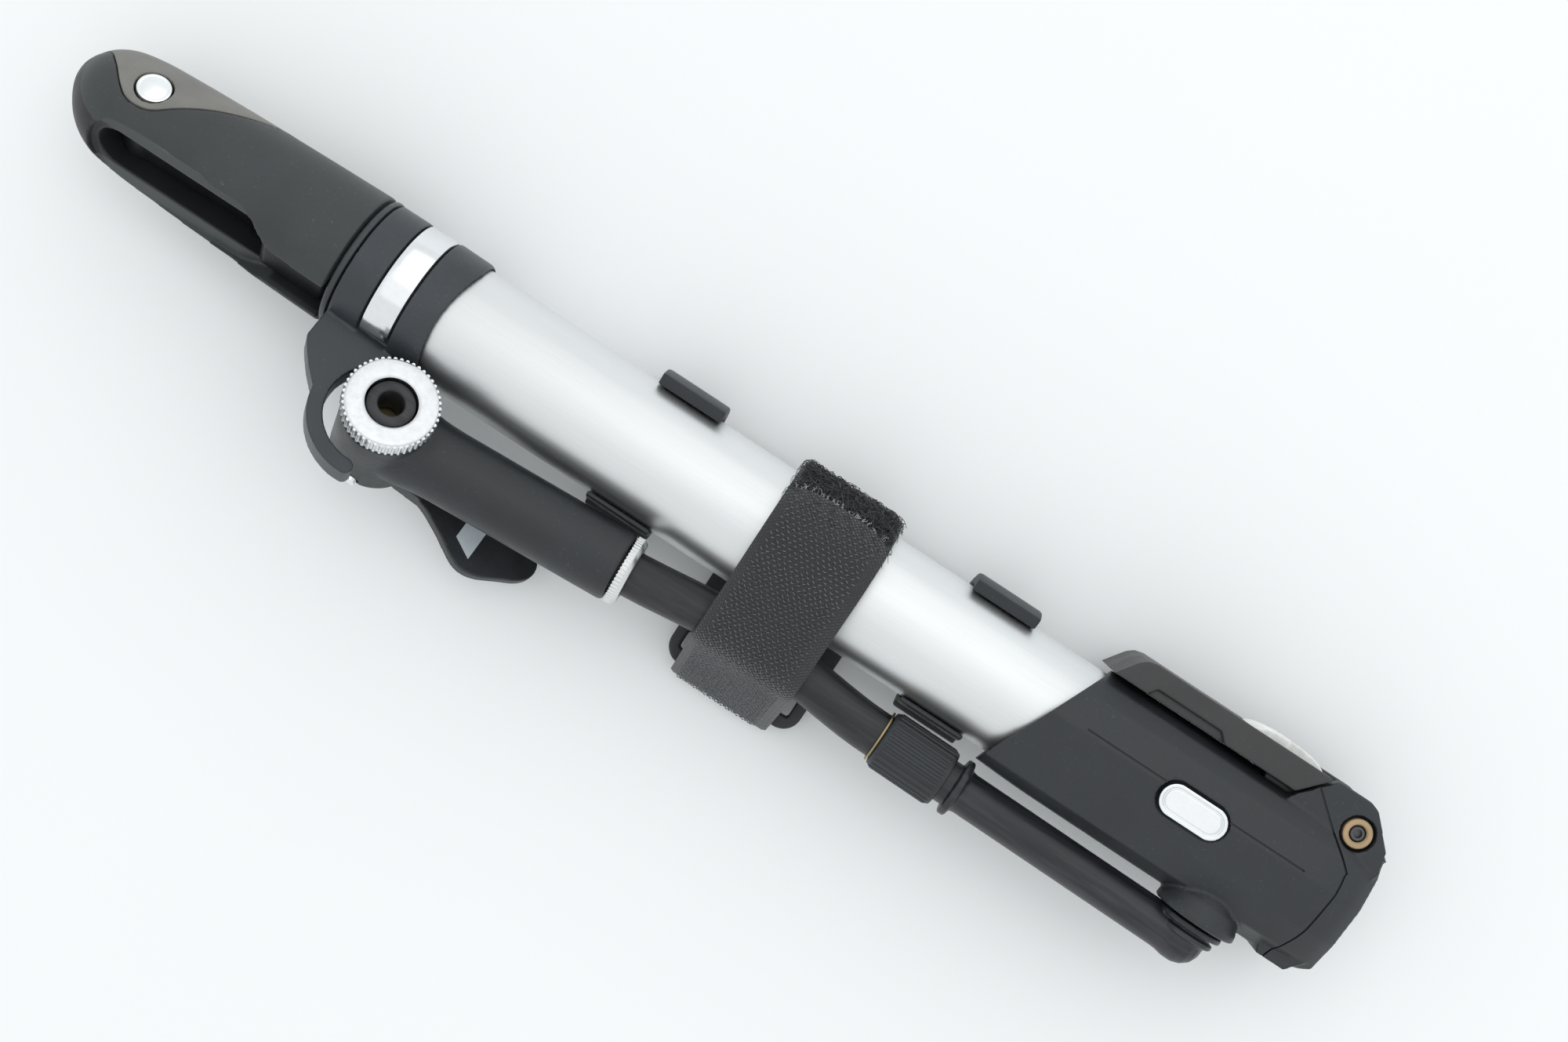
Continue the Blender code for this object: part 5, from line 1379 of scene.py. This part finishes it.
class PUMP_OT_strap(bpy.types.Operator):
    """Build the hook-and-loop strap: the pile tape round the barrel and the hook tape over it"""

    bl_idname = "pump.strap"
    bl_label = "Strap"

    def execute(self, context):
        low, high = STRAP
        loop = tape_mesh("loop_tape", even_path(loop_path(), 0.6), 1.1, low, high)
        done(loop, "tape", "pump_body", "webbing", "strap_loop_tape")
        patch = arc((0, 0), PILE_RADIUS, -12, 62, 60)
        pile = surface_grid("pile_patch", patch, 0.0, low + 1.1, high - 1.1, 0.5, 0.5, stagger=False)
        TREES["fibres"].apply(pile, Density=sizes().pile_density, Length=sizes().pile_height, Thickness=0.000045,
                              Lean=1.0, Bend=0.0012, Seed=11, Finish=finish_named("pile"))
        pile.name = "loop_pile"
        done(pile, "pile", "pump_body", "webbing")
        path = even_path(hook_path(), HOOK_STEP)
        tape = tape_mesh("hook_tape", path, 1.25, low, high, rounded=True)
        done(tape, "tape", "strap_flap", "webbing", "strap_hook_tape")
        pitch = sizes().hook_rows / MM
        hooks = surface_grid("hook_rows", path, -0.6, low + 1.6, high - 1.4, pitch, 1.15, 3.2)
        TREES["hooks"].apply(hooks, Height=0.00042, Thickness=0.00009, Finish=finish_named("hooks"))
        done(hooks, "hooks", "strap_flap", "webbing")
        self.build_frays(path, low, high)
        return {"FINISHED"}

    def build_frays(self, path, low, high):
        """Loose pale threads along the cut end."""
        random.seed(5)
        strands = []
        for _ in range(FRAYS):
            across = random.uniform(low + 1.0, high - 1.0)
            side = (across - (low + high) / 2) / ((high - low) / 2)
            base = path[min(len(path) - 1, int(cut_back(side) / HOOK_STEP) + 1)]
            out = base.normalized()
            ahead = Vector((out.y, -out.x))
            reach = random.uniform(0.5, 1.6)
            points = []
            for k in range(5):
                t = k / 4
                lift = 0.2 + 0.5 * math.sin(2.2 * t + random.uniform(-0.3, 0.3))
                flat = base + out * lift + ahead * (reach * t)
                points.append((flat.x, flat.y, across + random.uniform(-0.5, 0.5) * t))
            strands.append(tube("strand", points, 0.03, SECTION, 4))
        frays = merged("frayed_threads", *strands)
        done(frays, "thread", "strap_flap", "webbing")


# Hidden and small CAD nodes keep their shape and get a finish

CARRIED = {
    "rod_wiper": "rubber", "rod_bush": "nylon", "piston": "nylon", "piston_seal": "rubber", "piston_screw": "steel",
    "arm_cross_pin": "steel", "barrel_end_plug": "nylon", "barrel_o_ring": "rubber", "check_valve_disc": "rubber",
    "check_valve_spring": "steel", "swivel_o_ring": "rubber", "hose_barb": "brass", "gasket_plunger": "brass",
}


class PUMP_OT_carried(bpy.types.Operator):
    """Give the carried-over inner parts their finishes"""

    bl_idname = "pump.carried"
    bl_label = "Inner parts"

    def execute(self, context):
        for name, finish in CARRIED.items():
            mesh = NODES[name].data
            mesh.materials.clear()
            mesh.materials.append(finish_named(finish))
            mesh.shade_smooth()
            mesh.set_sharp_from_angle(angle=math.radians(35))
        return {"FINISHED"}


# Stage

CAMERA_TARGET = Vector((12.7, 2.8, 0.0)) * MM
CAMERA_HEIGHT = 383.0 * MM
CAMERA_SHIFT = 20.0 * MM
CAMERA_RIGHT = Vector((0.8358, 0.5490, 0.0))
LENS = 51.12
FLOOR_SIZE = 1800
LAMPS = (("key", (0.1, 0.75, 0.8), 1.4, 2.1), ("top", (-0.1, 0.1, 1.2), 1.2, 0.9))
SKY, SKY_STRENGTH = (0.965, 0.99, 1.0, 1), 0.93


class PUMP_OT_stage(bpy.types.Operator):
    """Build the camera, the floor and the soft lights"""

    bl_idname = "pump.stage"
    bl_label = "Stage"

    def execute(self, context):
        scene = context.scene
        target = CAMERA_TARGET + BARREL.translation
        camera = bpy.data.objects.new("camera", bpy.data.cameras.new("camera"))
        scene.collection.objects.link(camera)
        place = target + Vector((0, CAMERA_SHIFT, CAMERA_HEIGHT))
        camera.matrix_world = frame_at(place, CAMERA_RIGHT, place - target)
        camera.data.sensor_width = 36.0
        camera.data.lens = LENS
        camera.data.clip_start = 0.01
        scene.camera = camera
        scene.view_settings.view_transform = "Standard"
        self.build_floor()
        self.build_lights(scene)
        return {"FINISHED"}

    def build_floor(self):
        bm = bmesh.new()
        bmesh.ops.create_grid(bm, x_segments=8, y_segments=8, size=FLOOR_SIZE)
        floor = placed("floor", bm, Matrix.Identity(4))
        made = Finish("floor", (0.92, 0.935, 0.94), 0.85)
        slow = made.noise(made.coordinates(), 0.01, 2.0)
        made.drive("Base Color", made.mix((0.915, 0.93, 0.936), (0.93, 0.945, 0.952), slow))
        floor.data.materials.append(made.material)

    def build_lights(self, scene):
        world = bpy.data.worlds.new("studio")
        scene.world = world
        world.use_nodes = True
        background = world.node_tree.nodes["Background"]
        background.inputs["Color"].default_value = SKY
        background.inputs["Strength"].default_value = SKY_STRENGTH
        for name, place, size, power in LAMPS:
            data = bpy.data.lights.new(name, "AREA")
            data.shape = "SQUARE"
            data.size = size
            data.energy = power
            lamp = bpy.data.objects.new(name, data)
            scene.collection.objects.link(lamp)
            lamp.matrix_world = frame_at(place, (1, 0, 0.01), place)


# Panel and registration

OPERATORS = (
    PUMP_OT_barrel, PUMP_OT_collar, PUMP_OT_handle, PUMP_OT_base, PUMP_OT_foot, PUMP_OT_hose, PUMP_OT_head,
    PUMP_OT_bracket, PUMP_OT_strap, PUMP_OT_carried, PUMP_OT_stage,
)


class PUMP_PT_panel(bpy.types.Panel):
    """Lists the pump's sizes, colours and operators"""

    bl_label = "Mini pump"
    bl_idname = "PUMP_PT_panel"
    bl_space_type = "VIEW_3D"
    bl_region_type = "UI"
    bl_category = "Pump"

    def draw(self, context):
        for group in (context.scene.pump_sizes, context.scene.pump_colours):
            box = self.layout.box()
            for key in group.__annotations__:
                box.prop(group, key)
        for operator in OPERATORS:
            self.layout.operator(operator.bl_idname)


CLASSES = (PumpSizes, PumpColours, *OPERATORS, PUMP_PT_panel)


def register():
    for cls in CLASSES:
        bpy.utils.register_class(cls)
    bpy.types.Scene.pump_sizes = PointerProperty(type=PumpSizes)
    bpy.types.Scene.pump_colours = PointerProperty(type=PumpColours)


def unregister():
    del bpy.types.Scene.pump_colours
    del bpy.types.Scene.pump_sizes
    for cls in reversed(CLASSES):
        bpy.utils.unregister_class(cls)


def main():
    register()
    make_finishes(bpy.context.scene.pump_colours)
    TREES.update(ridges=ridge_tree(), fibres=fibre_tree(), hooks=hook_tree())
    for operator in OPERATORS:
        group, name = operator.bl_idname.split(".")
        getattr(getattr(bpy.ops, group), name)()


if __name__ == "__main__":
    main()
